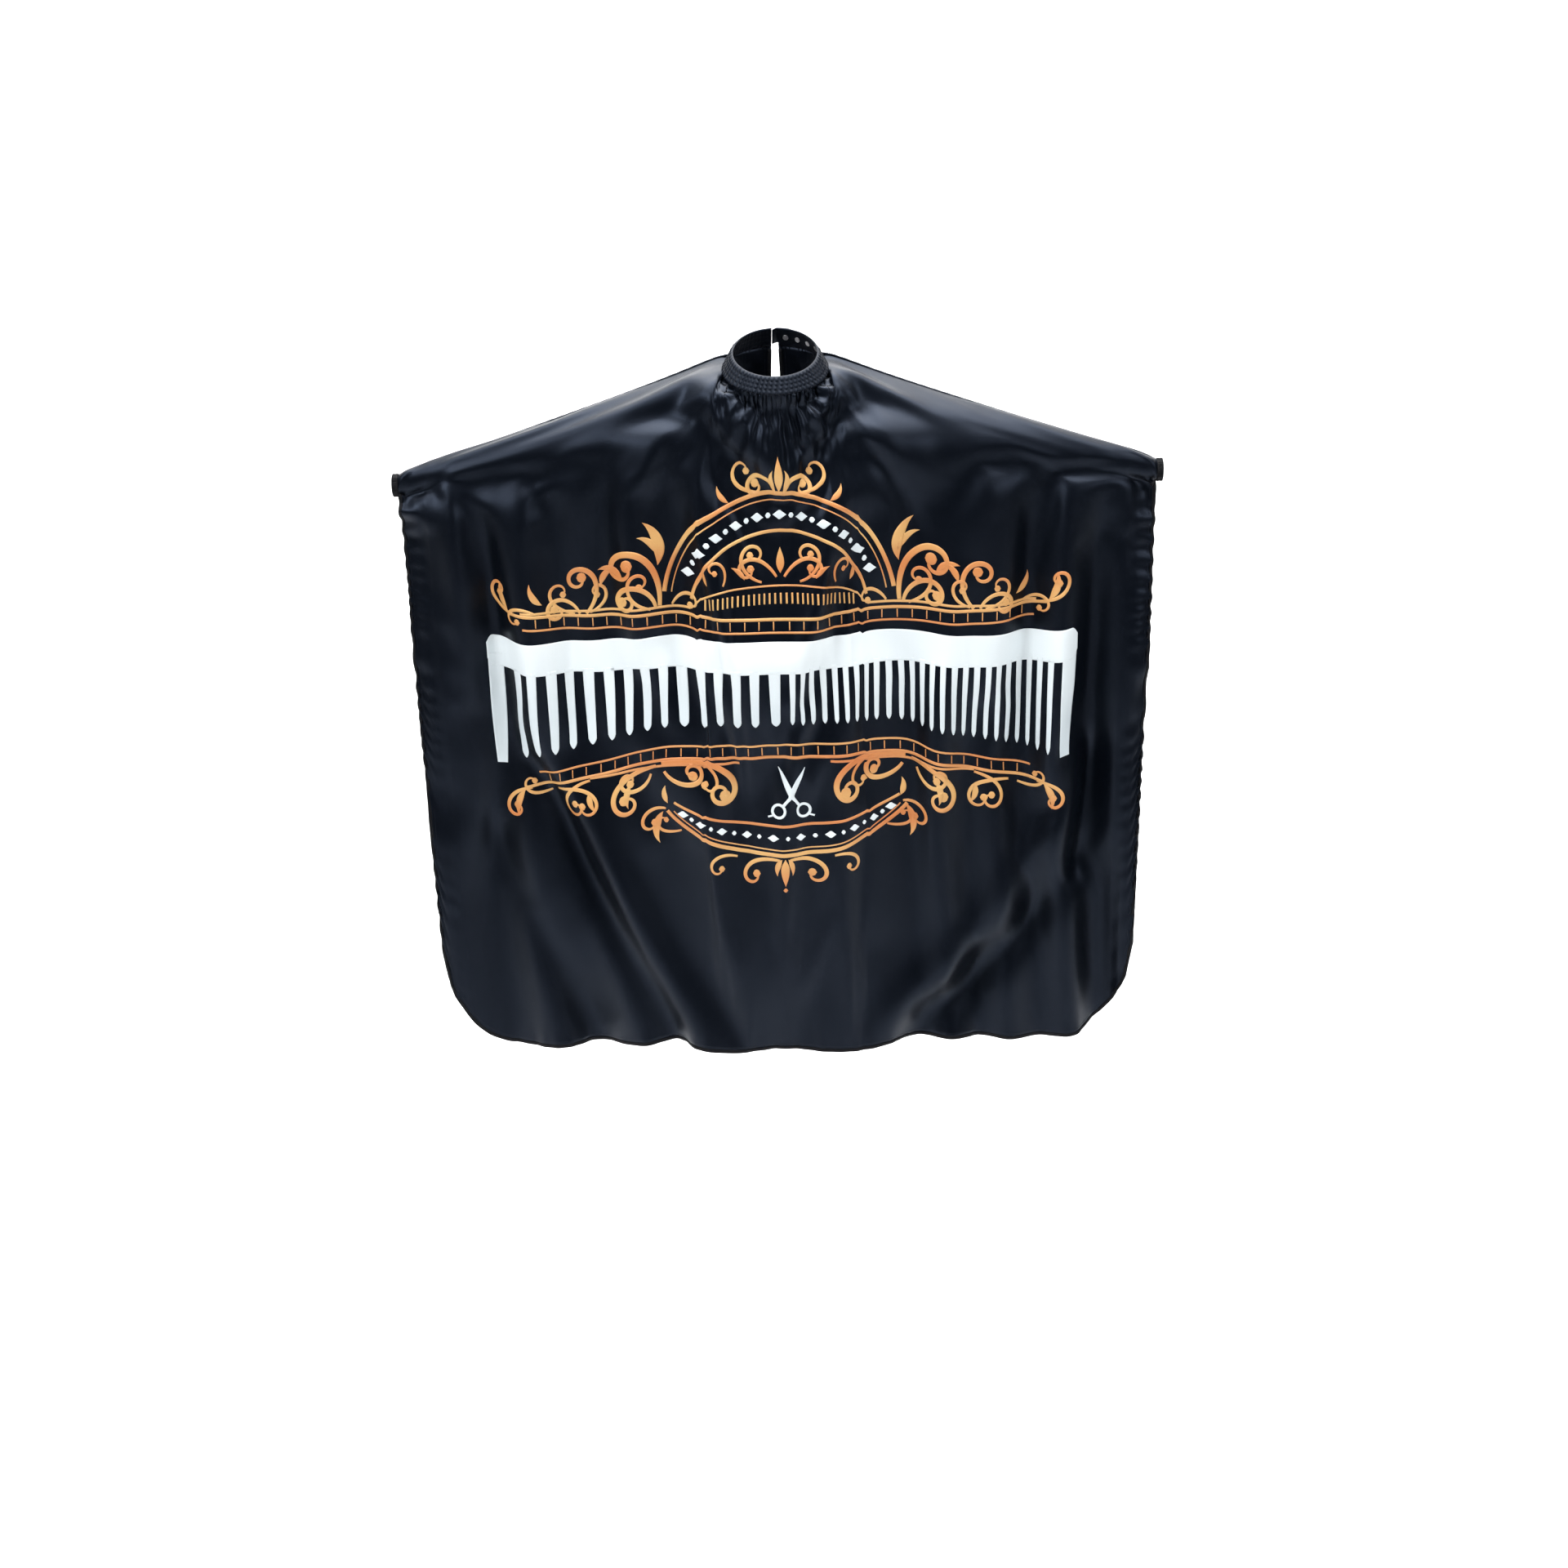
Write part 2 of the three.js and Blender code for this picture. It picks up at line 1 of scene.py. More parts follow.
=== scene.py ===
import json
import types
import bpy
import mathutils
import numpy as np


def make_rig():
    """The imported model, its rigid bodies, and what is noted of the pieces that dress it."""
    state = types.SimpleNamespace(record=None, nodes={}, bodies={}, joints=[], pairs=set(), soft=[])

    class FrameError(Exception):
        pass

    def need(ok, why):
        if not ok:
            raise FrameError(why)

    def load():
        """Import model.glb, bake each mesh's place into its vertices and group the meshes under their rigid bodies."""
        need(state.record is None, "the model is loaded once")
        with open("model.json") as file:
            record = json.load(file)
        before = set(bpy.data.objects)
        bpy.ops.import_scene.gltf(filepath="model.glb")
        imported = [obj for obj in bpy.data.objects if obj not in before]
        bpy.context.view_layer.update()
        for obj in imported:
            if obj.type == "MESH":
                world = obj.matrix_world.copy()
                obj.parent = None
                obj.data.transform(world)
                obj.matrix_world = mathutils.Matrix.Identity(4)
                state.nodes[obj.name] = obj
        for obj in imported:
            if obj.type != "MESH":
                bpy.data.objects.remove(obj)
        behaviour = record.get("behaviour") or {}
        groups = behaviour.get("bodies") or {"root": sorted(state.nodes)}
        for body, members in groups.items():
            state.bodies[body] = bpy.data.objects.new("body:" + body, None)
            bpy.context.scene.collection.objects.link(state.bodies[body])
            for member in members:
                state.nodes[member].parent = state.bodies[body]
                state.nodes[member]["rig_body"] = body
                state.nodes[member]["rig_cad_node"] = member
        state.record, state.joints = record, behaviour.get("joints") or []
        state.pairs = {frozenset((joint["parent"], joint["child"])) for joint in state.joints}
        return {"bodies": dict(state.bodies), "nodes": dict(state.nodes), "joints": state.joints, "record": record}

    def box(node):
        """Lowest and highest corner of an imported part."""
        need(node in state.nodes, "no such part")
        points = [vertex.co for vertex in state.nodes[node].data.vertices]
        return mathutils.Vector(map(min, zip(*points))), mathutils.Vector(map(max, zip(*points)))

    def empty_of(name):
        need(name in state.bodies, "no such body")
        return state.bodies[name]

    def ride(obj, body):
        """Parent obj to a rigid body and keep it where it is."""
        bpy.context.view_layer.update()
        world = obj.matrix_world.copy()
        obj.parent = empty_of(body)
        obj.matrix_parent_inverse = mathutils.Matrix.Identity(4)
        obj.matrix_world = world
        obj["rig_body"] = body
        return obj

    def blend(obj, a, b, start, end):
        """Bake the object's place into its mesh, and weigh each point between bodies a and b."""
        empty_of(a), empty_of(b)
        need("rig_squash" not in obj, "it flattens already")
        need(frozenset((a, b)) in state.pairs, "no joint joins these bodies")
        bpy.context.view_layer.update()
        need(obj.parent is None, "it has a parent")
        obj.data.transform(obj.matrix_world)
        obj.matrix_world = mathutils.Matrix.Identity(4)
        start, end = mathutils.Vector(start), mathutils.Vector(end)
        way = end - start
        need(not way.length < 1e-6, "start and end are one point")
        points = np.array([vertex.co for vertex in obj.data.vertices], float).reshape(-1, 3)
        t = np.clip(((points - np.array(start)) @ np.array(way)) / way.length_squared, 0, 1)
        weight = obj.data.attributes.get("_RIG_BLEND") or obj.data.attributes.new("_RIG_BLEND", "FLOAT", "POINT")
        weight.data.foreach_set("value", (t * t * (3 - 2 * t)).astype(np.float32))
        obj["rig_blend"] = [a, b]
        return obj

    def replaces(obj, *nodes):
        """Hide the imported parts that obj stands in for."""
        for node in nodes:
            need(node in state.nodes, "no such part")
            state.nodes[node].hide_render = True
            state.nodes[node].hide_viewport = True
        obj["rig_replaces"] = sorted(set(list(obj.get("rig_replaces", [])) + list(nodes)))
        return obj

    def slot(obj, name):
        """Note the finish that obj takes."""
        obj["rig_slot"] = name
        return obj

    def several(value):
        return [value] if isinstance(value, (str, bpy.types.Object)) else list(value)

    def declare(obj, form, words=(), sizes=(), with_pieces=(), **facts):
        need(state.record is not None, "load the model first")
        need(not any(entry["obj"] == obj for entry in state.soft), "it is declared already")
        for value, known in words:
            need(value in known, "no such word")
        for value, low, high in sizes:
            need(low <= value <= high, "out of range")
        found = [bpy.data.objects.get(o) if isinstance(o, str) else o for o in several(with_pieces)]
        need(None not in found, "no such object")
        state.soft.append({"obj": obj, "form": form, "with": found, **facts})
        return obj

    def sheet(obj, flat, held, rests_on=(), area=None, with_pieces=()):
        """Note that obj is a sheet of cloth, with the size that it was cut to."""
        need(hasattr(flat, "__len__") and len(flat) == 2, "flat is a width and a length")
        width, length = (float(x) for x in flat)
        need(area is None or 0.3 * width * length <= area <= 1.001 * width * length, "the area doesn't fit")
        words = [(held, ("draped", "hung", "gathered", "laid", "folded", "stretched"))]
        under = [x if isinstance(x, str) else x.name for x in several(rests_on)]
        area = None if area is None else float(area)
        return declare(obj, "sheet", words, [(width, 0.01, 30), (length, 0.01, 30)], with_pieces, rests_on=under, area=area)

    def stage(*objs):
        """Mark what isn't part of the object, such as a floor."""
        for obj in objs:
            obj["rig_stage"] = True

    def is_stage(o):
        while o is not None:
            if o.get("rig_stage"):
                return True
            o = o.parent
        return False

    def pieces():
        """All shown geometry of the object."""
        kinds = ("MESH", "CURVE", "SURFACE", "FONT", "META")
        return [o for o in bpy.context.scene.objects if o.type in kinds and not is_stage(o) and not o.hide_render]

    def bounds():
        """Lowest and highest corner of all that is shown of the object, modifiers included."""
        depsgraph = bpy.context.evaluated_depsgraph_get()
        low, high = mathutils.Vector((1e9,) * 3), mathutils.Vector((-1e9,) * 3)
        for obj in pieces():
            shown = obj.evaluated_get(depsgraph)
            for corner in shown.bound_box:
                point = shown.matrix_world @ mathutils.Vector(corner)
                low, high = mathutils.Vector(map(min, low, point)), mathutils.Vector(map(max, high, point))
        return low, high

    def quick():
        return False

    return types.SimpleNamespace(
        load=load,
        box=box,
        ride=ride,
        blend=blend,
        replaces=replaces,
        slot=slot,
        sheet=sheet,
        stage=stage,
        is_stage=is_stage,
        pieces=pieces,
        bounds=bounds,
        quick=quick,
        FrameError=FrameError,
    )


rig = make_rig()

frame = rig.load()
CAD_LOW, CAD_HIGH = [list(corner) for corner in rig.bounds()]

import json
import math

import bmesh
import bpy
import numpy as np
from bpy.props import FloatProperty, FloatVectorProperty, IntProperty, PointerProperty
from mathutils import Matrix, Vector

bl_info = {
    "name": "Barber Cape",
    "version": (1, 0, 0),
    "blender": (4, 5, 0),
    "location": "View3D > Sidebar > Barber Cape",
    "description": "Builds a satin haircut cape round its packed frame",
    "category": "Object",
}

TAU = 2 * math.pi


# ---------------------------------------------------------------- sizes taken from the frame

def middle_of(node):
    low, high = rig.box(node)
    return (np.array(low) + np.array(high)) / 2


def node_low(node):
    return np.array(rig.box(node)[0])


def node_high(node):
    return np.array(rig.box(node)[1])


WRIST = middle_of("wrist_elastic_right")
CUFF_RADIUS = (node_high("wrist_elastic_right") - node_low("wrist_elastic_right"))[2] / 2 - 0.001
CLOTH_EDGE_X = node_low("wrist_elastic_right")[0] - 0.001
JOINTS = {joint["name"]: joint for joint in frame["record"]["behaviour"]["joints"]}
SWING = {side: JOINTS[f"flap_{side}_swing"] for side in ("left", "right")}


class SatinSizes(bpy.types.PropertyGroup):
    flat_width: FloatProperty(
        name="Flat width", description="Width of the cape before it is sewn and hung",
        default=1.40, unit="LENGTH")
    front_length: FloatProperty(
        name="Front length", description="Cut length from the middle of the neckline to the hem",
        default=1.170, unit="LENGTH")
    thickness: FloatProperty(
        name="Cloth thickness", description="Thickness of the satin", default=0.0004, unit="LENGTH")
    corner: FloatProperty(
        name="Hem corner", description="Radius of the rounded lower corners", default=0.14, unit="LENGTH")
    neck_columns: IntProperty(
        name="Neck columns", description="Columns of cloth cells across the gathered neckline", default=80)
    arm_columns: IntProperty(
        name="Arm columns", description="Columns of cloth cells along each arm", default=38)
    rows: IntProperty(
        name="Rows", description="Rows of cloth cells from neck to hem", default=76)
    settle_frames: IntProperty(
        name="Settling frames", description="Frames of cloth simulation", default=30)
    satin_colour: FloatVectorProperty(
        name="Satin", description="Colour of the satin", subtype="COLOR",
        default=(0.0012, 0.0019, 0.0036))
    ink_white: FloatVectorProperty(
        name="White print", description="Colour of the white print", subtype="COLOR",
        default=(0.84, 0.90, 0.92))
    ink_gold: FloatVectorProperty(
        name="Gold print", description="Lighter colour of the gold print", subtype="COLOR",
        default=(0.72, 0.43, 0.15))
    ink_copper: FloatVectorProperty(
        name="Copper print", description="Deeper colour of the gold print", subtype="COLOR",
        default=(0.60, 0.19, 0.05))


# ---------------------------------------------------------------- the neckband's two rings

# Half width, half depth, lean in degrees, and the centre's Y and Z, as the frame's band has them.
BAND_TOP = (0.070, 0.082, 24.0, 0.0, 0.0)
BAND_FOOT = (0.086, 0.0936, 20.0, -0.001, -0.028)
NECK_EDGE = 122.0                      # degrees from the front to the shoulder seam
BAND_END = 176.0


def ring_points(ring, angle, out=0.0):
    """Points of a leaning oval, angle in degrees from the front; arrays in, arrays out."""
    half_width, half_depth, lean, y, z = ring
    turn, lean = np.radians(angle), math.radians(lean)
    along = -(half_depth + out) * np.cos(turn)
    x = (half_width + out) * np.sin(turn)
    return np.stack([x, y + along * math.cos(lean), z + along * math.sin(lean)], axis=-1)


def band_points(angle, down, out=0.0):
    top, foot = ring_points(BAND_TOP, angle, out), ring_points(BAND_FOOT, angle, out)
    down = np.asarray(down, float)[..., None]
    return top * (1 - down) + foot * down


# ---------------------------------------------------------------- general helpers

def smooth(low, high, value):
    t = np.clip((value - low) / (high - low), 0, 1)
    return t * t * (3 - 2 * t)


def mix(a, b, t):
    return a + (b - a) * t


def ripple(seed, count, value):
    """A smooth wandering curve through seeded random knots, for value from 0 to 1."""
    knots = np.random.default_rng(seed).uniform(-1, 1, count + 3)
    place = np.clip(value, 0, 1) * count
    cell = np.minimum(place.astype(int), count - 1)
    t = place - cell
    a, b, c, d = (knots[cell + k] for k in range(4))
    return (a * (1 - t) ** 3 + b * (3 * t ** 3 - 6 * t ** 2 + 4)
            + c * (-3 * t ** 3 + 3 * t ** 2 + 3 * t + 1) + d * t ** 3) / 6


def new_mesh_object(name, points, faces, material=None):
    mesh = bpy.data.meshes.new(name)
    mesh.from_pydata([tuple(p) for p in points], [], [tuple(f) for f in faces])
    mesh.validate()
    obj = bpy.data.objects.new(name, mesh)
    bpy.context.scene.collection.objects.link(obj)
    if material is not None:
        mesh.materials.append(material)
    mesh.polygons.foreach_set("use_smooth", [True] * len(mesh.polygons))
    return obj


def unit(vectors):
    return vectors / np.maximum(np.linalg.norm(vectors, axis=-1, keepdims=True), 1e-12)


def run_length(points):
    """The length of a line of points up to each of them."""
    return np.concatenate([[0], np.cumsum(np.linalg.norm(np.diff(points, axis=0), axis=-1))])


def grid_index(columns, rows):
    return np.arange(columns * rows).reshape(columns, rows)


def grid_faces(index):
    quads = [index[:-1, :-1], index[:-1, 1:], index[1:, 1:], index[1:, :-1]]
    return np.stack(quads, axis=-1).reshape(-1, 4)


def sheet_faces(index, below):
    """Faces of a thin closed sheet: a grid of points, the same grid further on in the list, and the rim."""
    faces = grid_faces(index)
    loop = np.concatenate([index[0, :-1], index[:-1, -1], index[-1, :0:-1], index[:0:-1, 0]])
    following = np.roll(loop, -1)
    rim = np.stack([following, loop, loop + below, following + below], axis=-1)
    return np.concatenate([faces, faces[:, ::-1] + below, rim])


def grid_normals(points):
    return unit(np.cross(np.gradient(points, axis=1), np.gradient(points, axis=0)))


def halve(points, axis, curved=True):
    """Puts a point midway between each two along an axis, on a straight line or on a smooth curve."""
    points = np.moveaxis(points, axis, 0)
    middle = (points[:-1] + points[1:]) / 2
    if curved:
        before = np.concatenate([2 * points[:1] - points[1:2], points[:-2]])
        after = np.concatenate([points[2:], 2 * points[-1:] - points[-2:-1]])
        middle = (9 * (points[:-1] + points[1:]) - before - after) / 16
    out = np.empty((len(points) * 2 - 1,) + points.shape[1:])
    out[0::2], out[1::2] = points, middle
    return np.moveaxis(out, 0, axis)


def finer(flat, place):
    """Twice as many cells each way: straight between the flat places, curved between the hung ones."""
    for axis in (0, 1):
        flat, place = halve(flat, axis, curved=False), halve(place, axis)
    return flat, place


def relax(points, rounds):
    """Evens out the smallest wrinkles of a grid."""
    points = points.copy()
    for _ in range(rounds):
        inner = (points[:-2, 1:-1] + points[2:, 1:-1] + points[1:-1, :-2] + points[1:-1, 2:]) / 4
        points[1:-1, 1:-1] = mix(points[1:-1, 1:-1], inner, 0.5)
    return points


# ---------------------------------------------------------------- the cut pieces, laid flat

NECK_HALF = 0.150                      # flat half width of the front neckline
NECK_DEPTH = 0.105
SEAM_FALL = 0.222                      # how far the shoulder seam drops from neck to wrist
HEM_HALF = 0.605                       # half width of the hung cape at its lower corners
STRIP = 0.042                          # width of the strip sewn along each side
SIDE_TAPER = 0.05                      # how much narrower the hem is cut than the wrists
CUFF_TAKE = 0.082                      # length of side edge gathered on half a cuff
ROW_EVEN, ROW_GROWTH = 0.6, 0.4        # rows of cells stand closer together at the neck than at the hem


def front_flat(sizes):
    """Flat places of the front panel's cells: X across, Z up, neck corner at Z = 0."""
    half = sizes.flat_width / 2
    across = np.sin(np.linspace(-math.pi / 2, math.pi / 2, sizes.neck_columns + 1)) * 0.35
    neck = (across + np.linspace(-1, 1, sizes.neck_columns + 1) * 0.65) * NECK_HALF
    arm = np.linspace(NECK_HALF, half, sizes.arm_columns + 1)[1:]
    x = np.concatenate([-arm[::-1], neck, arm])
    reach = np.clip((np.abs(x) - NECK_HALF) / (half - NECK_HALF), 0, 1)
    inside = np.clip(np.abs(x) / NECK_HALF, 0, 1)
    top = np.where(np.abs(x) < NECK_HALF, -NECK_DEPTH * np.sqrt(1 - inside ** 2), -SEAM_FALL * reach)
    foot = -(NECK_DEPTH + sizes.front_length)
    corner = np.maximum(np.abs(x) - (half - sizes.corner), 0)
    bottom = foot + sizes.corner - np.sqrt(np.maximum(sizes.corner ** 2 - corner ** 2, 0))
    step = np.linspace(0, 1, sizes.rows + 1)
    step = step * ROW_EVEN + ROW_GROWTH * step ** 2
    z = top[:, None] + (bottom - top)[:, None] * step[None, :]
    taper = 1 - SIDE_TAPER * smooth(SEAM_FALL, sizes.front_length, -z) * reach[:, None]
    return np.stack([x[:, None] * taper, z], axis=-1)


# Creases that the front starts with before it settles: from X, Z to X, Z on the flat panel,
# half width, and depth towards the wearer (negative stands forward).
FRONT_FOLDS = [
    (-0.160, -0.140, -0.190, -0.620, 0.026, 0.017),
    (-0.235, -0.110, -0.275, -0.600, 0.028, -0.014),
    (-0.330, -0.130, -0.300, -0.560, 0.026, 0.016),
    (-0.420, -0.170, -0.375, -0.640, 0.026, 0.017),
    (-0.480, -0.190, -0.450, -0.700, 0.024, -0.014),
    (-0.540, -0.210, -0.515, -0.780, 0.024, 0.017),
    (-0.600, -0.240, -0.580, -0.820, 0.022, -0.013),
    (0.150, -0.120, 0.250, -0.360, 0.022, 0.016),
    (0.225, -0.110, 0.235, -0.560, 0.026, -0.013),
    (0.320, -0.120, 0.285, -0.560, 0.028, 0.017),
    (0.400, -0.150, 0.360, -0.640, 0.026, -0.014),
    (0.470, -0.180, 0.430, -0.700, 0.026, 0.017),
    (0.540, -0.210, 0.505, -0.740, 0.024, -0.013),
    (0.600, -0.240, 0.580, -0.800, 0.024, 0.017),
    (-0.480, -0.720, -0.235, -1.230, 0.030, 0.020),
    (-0.420, -0.760, -0.170, -1.240, 0.028, -0.013),
    (-0.560, -0.860, -0.385, -1.240, 0.030, 0.017),
    (0.600, -0.740, 0.555, -0.960, 0.028, 0.018),
    (0.560, -0.940, 0.290, -1.215, 0.032, 0.020),
    (0.520, -0.860, 0.220, -1.200, 0.030, -0.013),
]


GATHER_SIZE = 0.0050                   # half height of the gathers under the band
FOLD_SIZE = 0.017                      # half height of the soft upright folds


def fold_depth(flat, folds):
    """How far each cell stands back from the plain drape, from the list of creases."""
    depth = np.zeros(flat.shape[:2])
    for x0, z0, x1, z1, half_width, deep in folds:
        start, run = np.array([x0, z0]), np.array([x1 - x0, z1 - z0])
        length = np.hypot(*run)
        rel = flat - start
        along = (rel @ run) / length ** 2
        aside = (rel @ np.array([-run[1], run[0]])) / length
        ends = smooth(-0.12, 0.12, along) * (1 - smooth(0.85, 1.25, along))
        depth += deep * ends * np.exp(-(aside / half_width) ** 2)
    return depth


def ridge_point(reach, side):
    """The shoulder seam, from beside the neck at 0 to the top of the wrist at 1."""
    neck = ring_points(BAND_FOOT, NECK_EDGE) + np.array([0.002, 0.002, 0.002])
    wrist = np.array([CLOTH_EDGE_X, 0.0, WRIST[2] + CUFF_RADIUS])
    point = neck + (wrist - neck) * np.asarray(reach, float)[..., None]
    point[..., 2] += 0.012 * np.exp(-np.asarray(reach) / 0.12) - 0.010 * np.exp(-np.asarray(reach) / 0.03)
    point[..., 0] *= side
    return point


def hang(top, x, y, down):
    """Columns of cloth that keep their cut length: each goes to x and y, and falls by what is left."""
    x, y = x.copy(), y.copy()
    x[:, 0], y[:, 0] = top[:, 0], top[:, 1]
    step = np.diff(down, axis=1)
    fall = step ** 2 - np.diff(x, axis=1) ** 2 - np.diff(y, axis=1) ** 2
    fall = np.sqrt(np.maximum(fall, (0.25 * step) ** 2))
    z = np.concatenate([top[:, 2:3], top[:, 2:3] - np.cumsum(fall, axis=1)], axis=1)
    return np.stack([x, y, z], axis=-1)


def even_across(values, x, reach):
    """Averages each row with its neighbours within a reach, so that columns hang level with each other."""
    weight = np.exp(-((x[:, None] - x[None, :]) / reach) ** 2) * np.gradient(x)[None, :]
    return (weight / weight.sum(axis=1, keepdims=True)) @ values


def front_start(flat, sizes):
    """The front panel roughly in place: pulled up to the band and the seams, folds begun."""
    half = sizes.flat_width / 2
    x, z = flat[..., 0], flat[..., 1]
    top_x = x[:, 0]
    reach = np.clip((np.abs(top_x) - NECK_HALF) / (half - NECK_HALF), 0, 1)
    side = np.where(top_x < 0, -1.0, 1.0)
    angle = np.degrees(np.arcsin(np.clip(top_x / NECK_HALF, -1, 1))) * NECK_EDGE / 90
    seam = np.array([ridge_point(r, s) for r, s in zip(reach, side)])
    neck = ring_points(BAND_FOOT, angle)
    top = np.where((np.abs(top_x) <= NECK_HALF)[:, None], neck, seam)
    down = z[:, :1] - z
    squeeze = (CLOTH_EDGE_X / half) * (1 + 0.005 * smooth(0, 1.0, down))
    hung_x = mix(top[:, :1], x * squeeze, smooth(0.0, 0.30, down))
    plumb = -(0.026 + 0.060 * np.exp(-(x / 0.27) ** 2))
    hung_y = mix(top[:, 1:2], plumb, np.sin(np.clip(down / 0.20, 0, 1) * math.pi / 2))
    lane = x / 0.135 + 0.9 * ripple(5, 5, x / 1.5 + 0.5) + 0.35 * ripple(8, 4, -z / 1.3)
    strength = smooth(0.04, 0.45, down) * (0.75 + 0.25 * ripple(6, 7, x / 1.4 + 0.5))
    hung_y += FOLD_SIZE * strength * np.sin(TAU * lane)
    hung_y += fold_depth(flat, FRONT_FOLDS) * smooth(0.03, 0.22, down)
    gathered = smooth(0, 0.015, down) * np.exp(-down / 0.13)
    gathered *= 1 - smooth(0.8 * NECK_HALF, 1.3 * NECK_HALF, np.abs(x))
    hung_y += GATHER_SIZE * gathered * np.sin(TAU * x / 0.0235 + 2.5 * ripple(9, 6, x / 0.4 + 0.5))
    lifted = (CUFF_TAKE - 2 * CUFF_RADIUS) * smooth(0, CUFF_TAKE, down)
    place = hang(top, hung_x, hung_y, down)
    level = even_across(place[..., 2] - z, top_x, 0.075)
    place[..., 2] = mix(place[..., 2], z + level, smooth(0.01, 0.30, down))
    place[..., 2] += lifted * np.exp(-((half - np.abs(x)) / 0.10) ** 2)
    return place


def cuff_points(take, side, facing):
    """Points on half a cuff, take from 0 at the top to 1 underneath; facing -1 is the front."""
    turn = np.pi * np.asarray(take, float)
    y = facing * CUFF_RADIUS * np.sin(turn)
    z = WRIST[2] + CUFF_RADIUS * np.cos(turn)
    return np.stack([np.full_like(y, side * CLOTH_EDGE_X), y, z], axis=-1)


# ---------------------------------------------------------------- cloth simulation

def tapered_rod(name, start, end, radius_start, radius_end, sides=20, rings=16):
    start, end = Vector(start), Vector(end)
    turn = (end - start).to_track_quat("Z", "Y").to_matrix()
    points = []
    for k in range(rings + 1):
        t = k / rings
        centre, radius = start.lerp(end, t), mix(radius_start, radius_end, t)
        for s in range(sides):
            a = TAU * s / sides
            points.append(centre + turn @ Vector((radius * math.cos(a), radius * math.sin(a), 0)))
    faces = []
    for k in range(rings):
        for s in range(sides):
            n = (s + 1) % sides
            faces.append((k * sides + s, k * sides + n, (k + 1) * sides + n, (k + 1) * sides + s))
    return new_mesh_object(name, points, faces)


def make_wearer():
    """Plain shapes that stand for shoulders and arms while the cloth settles. They are removed after."""
    shapes = []
    for side in (-1, 1):
        start = (side * 0.050, 0.030, -0.072)
        end = (side * (CLOTH_EDGE_X + 0.01), 0.0, WRIST[2])
        shapes.append(tapered_rod(f"arm_{side}", start, end, 0.046, CUFF_RADIUS - 0.004))
    torso = tapered_rod("torso", (0, 0.005, -0.07), (0, 0.0, -0.62), 0.062, 0.075, 28, 24)
    for vertex in torso.data.vertices:
        vertex.co.x *= 1.9
    shapes.append(torso)
    for shape in shapes:
        shape.modifiers.new("Collision", "COLLISION")
        shape.collision.thickness_outer = 0.003
        shape.collision.cloth_friction = 8
    return shapes


# How the satin behaves in the cloth solver: weight of one vertex in kg, then its springs and damping.
SATIN_CLOTH = {
    "quality": 6,
    "mass": 0.0006,
    "air_damping": 4,
    "tension_stiffness": 25,
    "compression_stiffness": 4,
    "shear_stiffness": 8,
    "bending_stiffness": 0.15,
    "tension_damping": 8,
    "compression_damping": 8,
    "shear_damping": 6,
    "bending_damping": 0.6,
}


def settle(sheets, frames):
    """Lets the cut pieces hang as cloth from their sewn edges, and gives back where each comes to rest.

    Each sheet is a name, the flat places of its cells, where they start, and which of them are sewn.
    """
    hung = []
    for name, flat, start, sewn in sheets:
        columns, rows = start.shape[:2]
        piece = new_mesh_object(name, start.reshape(-1, 3), grid_faces(grid_index(columns, rows)))
        piece.shape_key_add(name="placed")
        cut = piece.shape_key_add(name="cut")
        rest = np.zeros((columns * rows, 3))
        rest[:, 0], rest[:, 2] = flat[..., 0].ravel(), flat[..., 1].ravel()
        cut.data.foreach_set("co", rest.ravel())
        group = piece.vertex_groups.new(name="sewn")
        group.add([int(i) for i in np.flatnonzero(sewn.ravel())], 1.0, "REPLACE")
        cloth = piece.modifiers.new("Cloth", "CLOTH")
        for setting, value in SATIN_CLOTH.items():
            setattr(cloth.settings, setting, value)
        cloth.settings.vertex_group_mass = "sewn"
        cloth.settings.pin_stiffness = 1
        cloth.settings.rest_shape_key = cut
        cloth.collision_settings.use_collision = True
        cloth.collision_settings.distance_min = 0.003
        cloth.collision_settings.collision_quality = 2
        cloth.collision_settings.use_self_collision = False
        cloth.point_cache.frame_end = frames
        hung.append(piece)
    for number in range(1, frames + 1):
        bpy.context.scene.frame_set(number)
    depsgraph = bpy.context.evaluated_depsgraph_get()
    settled = []
    for piece, (_, _, start, _) in zip(hung, sheets):
        places = np.empty(start.size)
        piece.evaluated_get(depsgraph).data.vertices.foreach_get("co", places)
        settled.append(places.reshape(start.shape))
        bpy.data.objects.remove(piece)
    bpy.context.scene.frame_set(1)
    return settled


# ---------------------------------------------------------------- the back panels

BACK_COLUMNS, BACK_ROWS = 60, 26
BACK_NECK = 0.100                      # flat half width of the nape neckline
BACK_HALF = 0.652                      # flat half width at the wrist
NAPE_DROP = 0.016
SLIT = 0.0062                          # half the gap between the two back panels
BACK_CORNER = 0.06
BACK_MIDDLE = 0.004                    # where a back panel starts beside the middle of the back


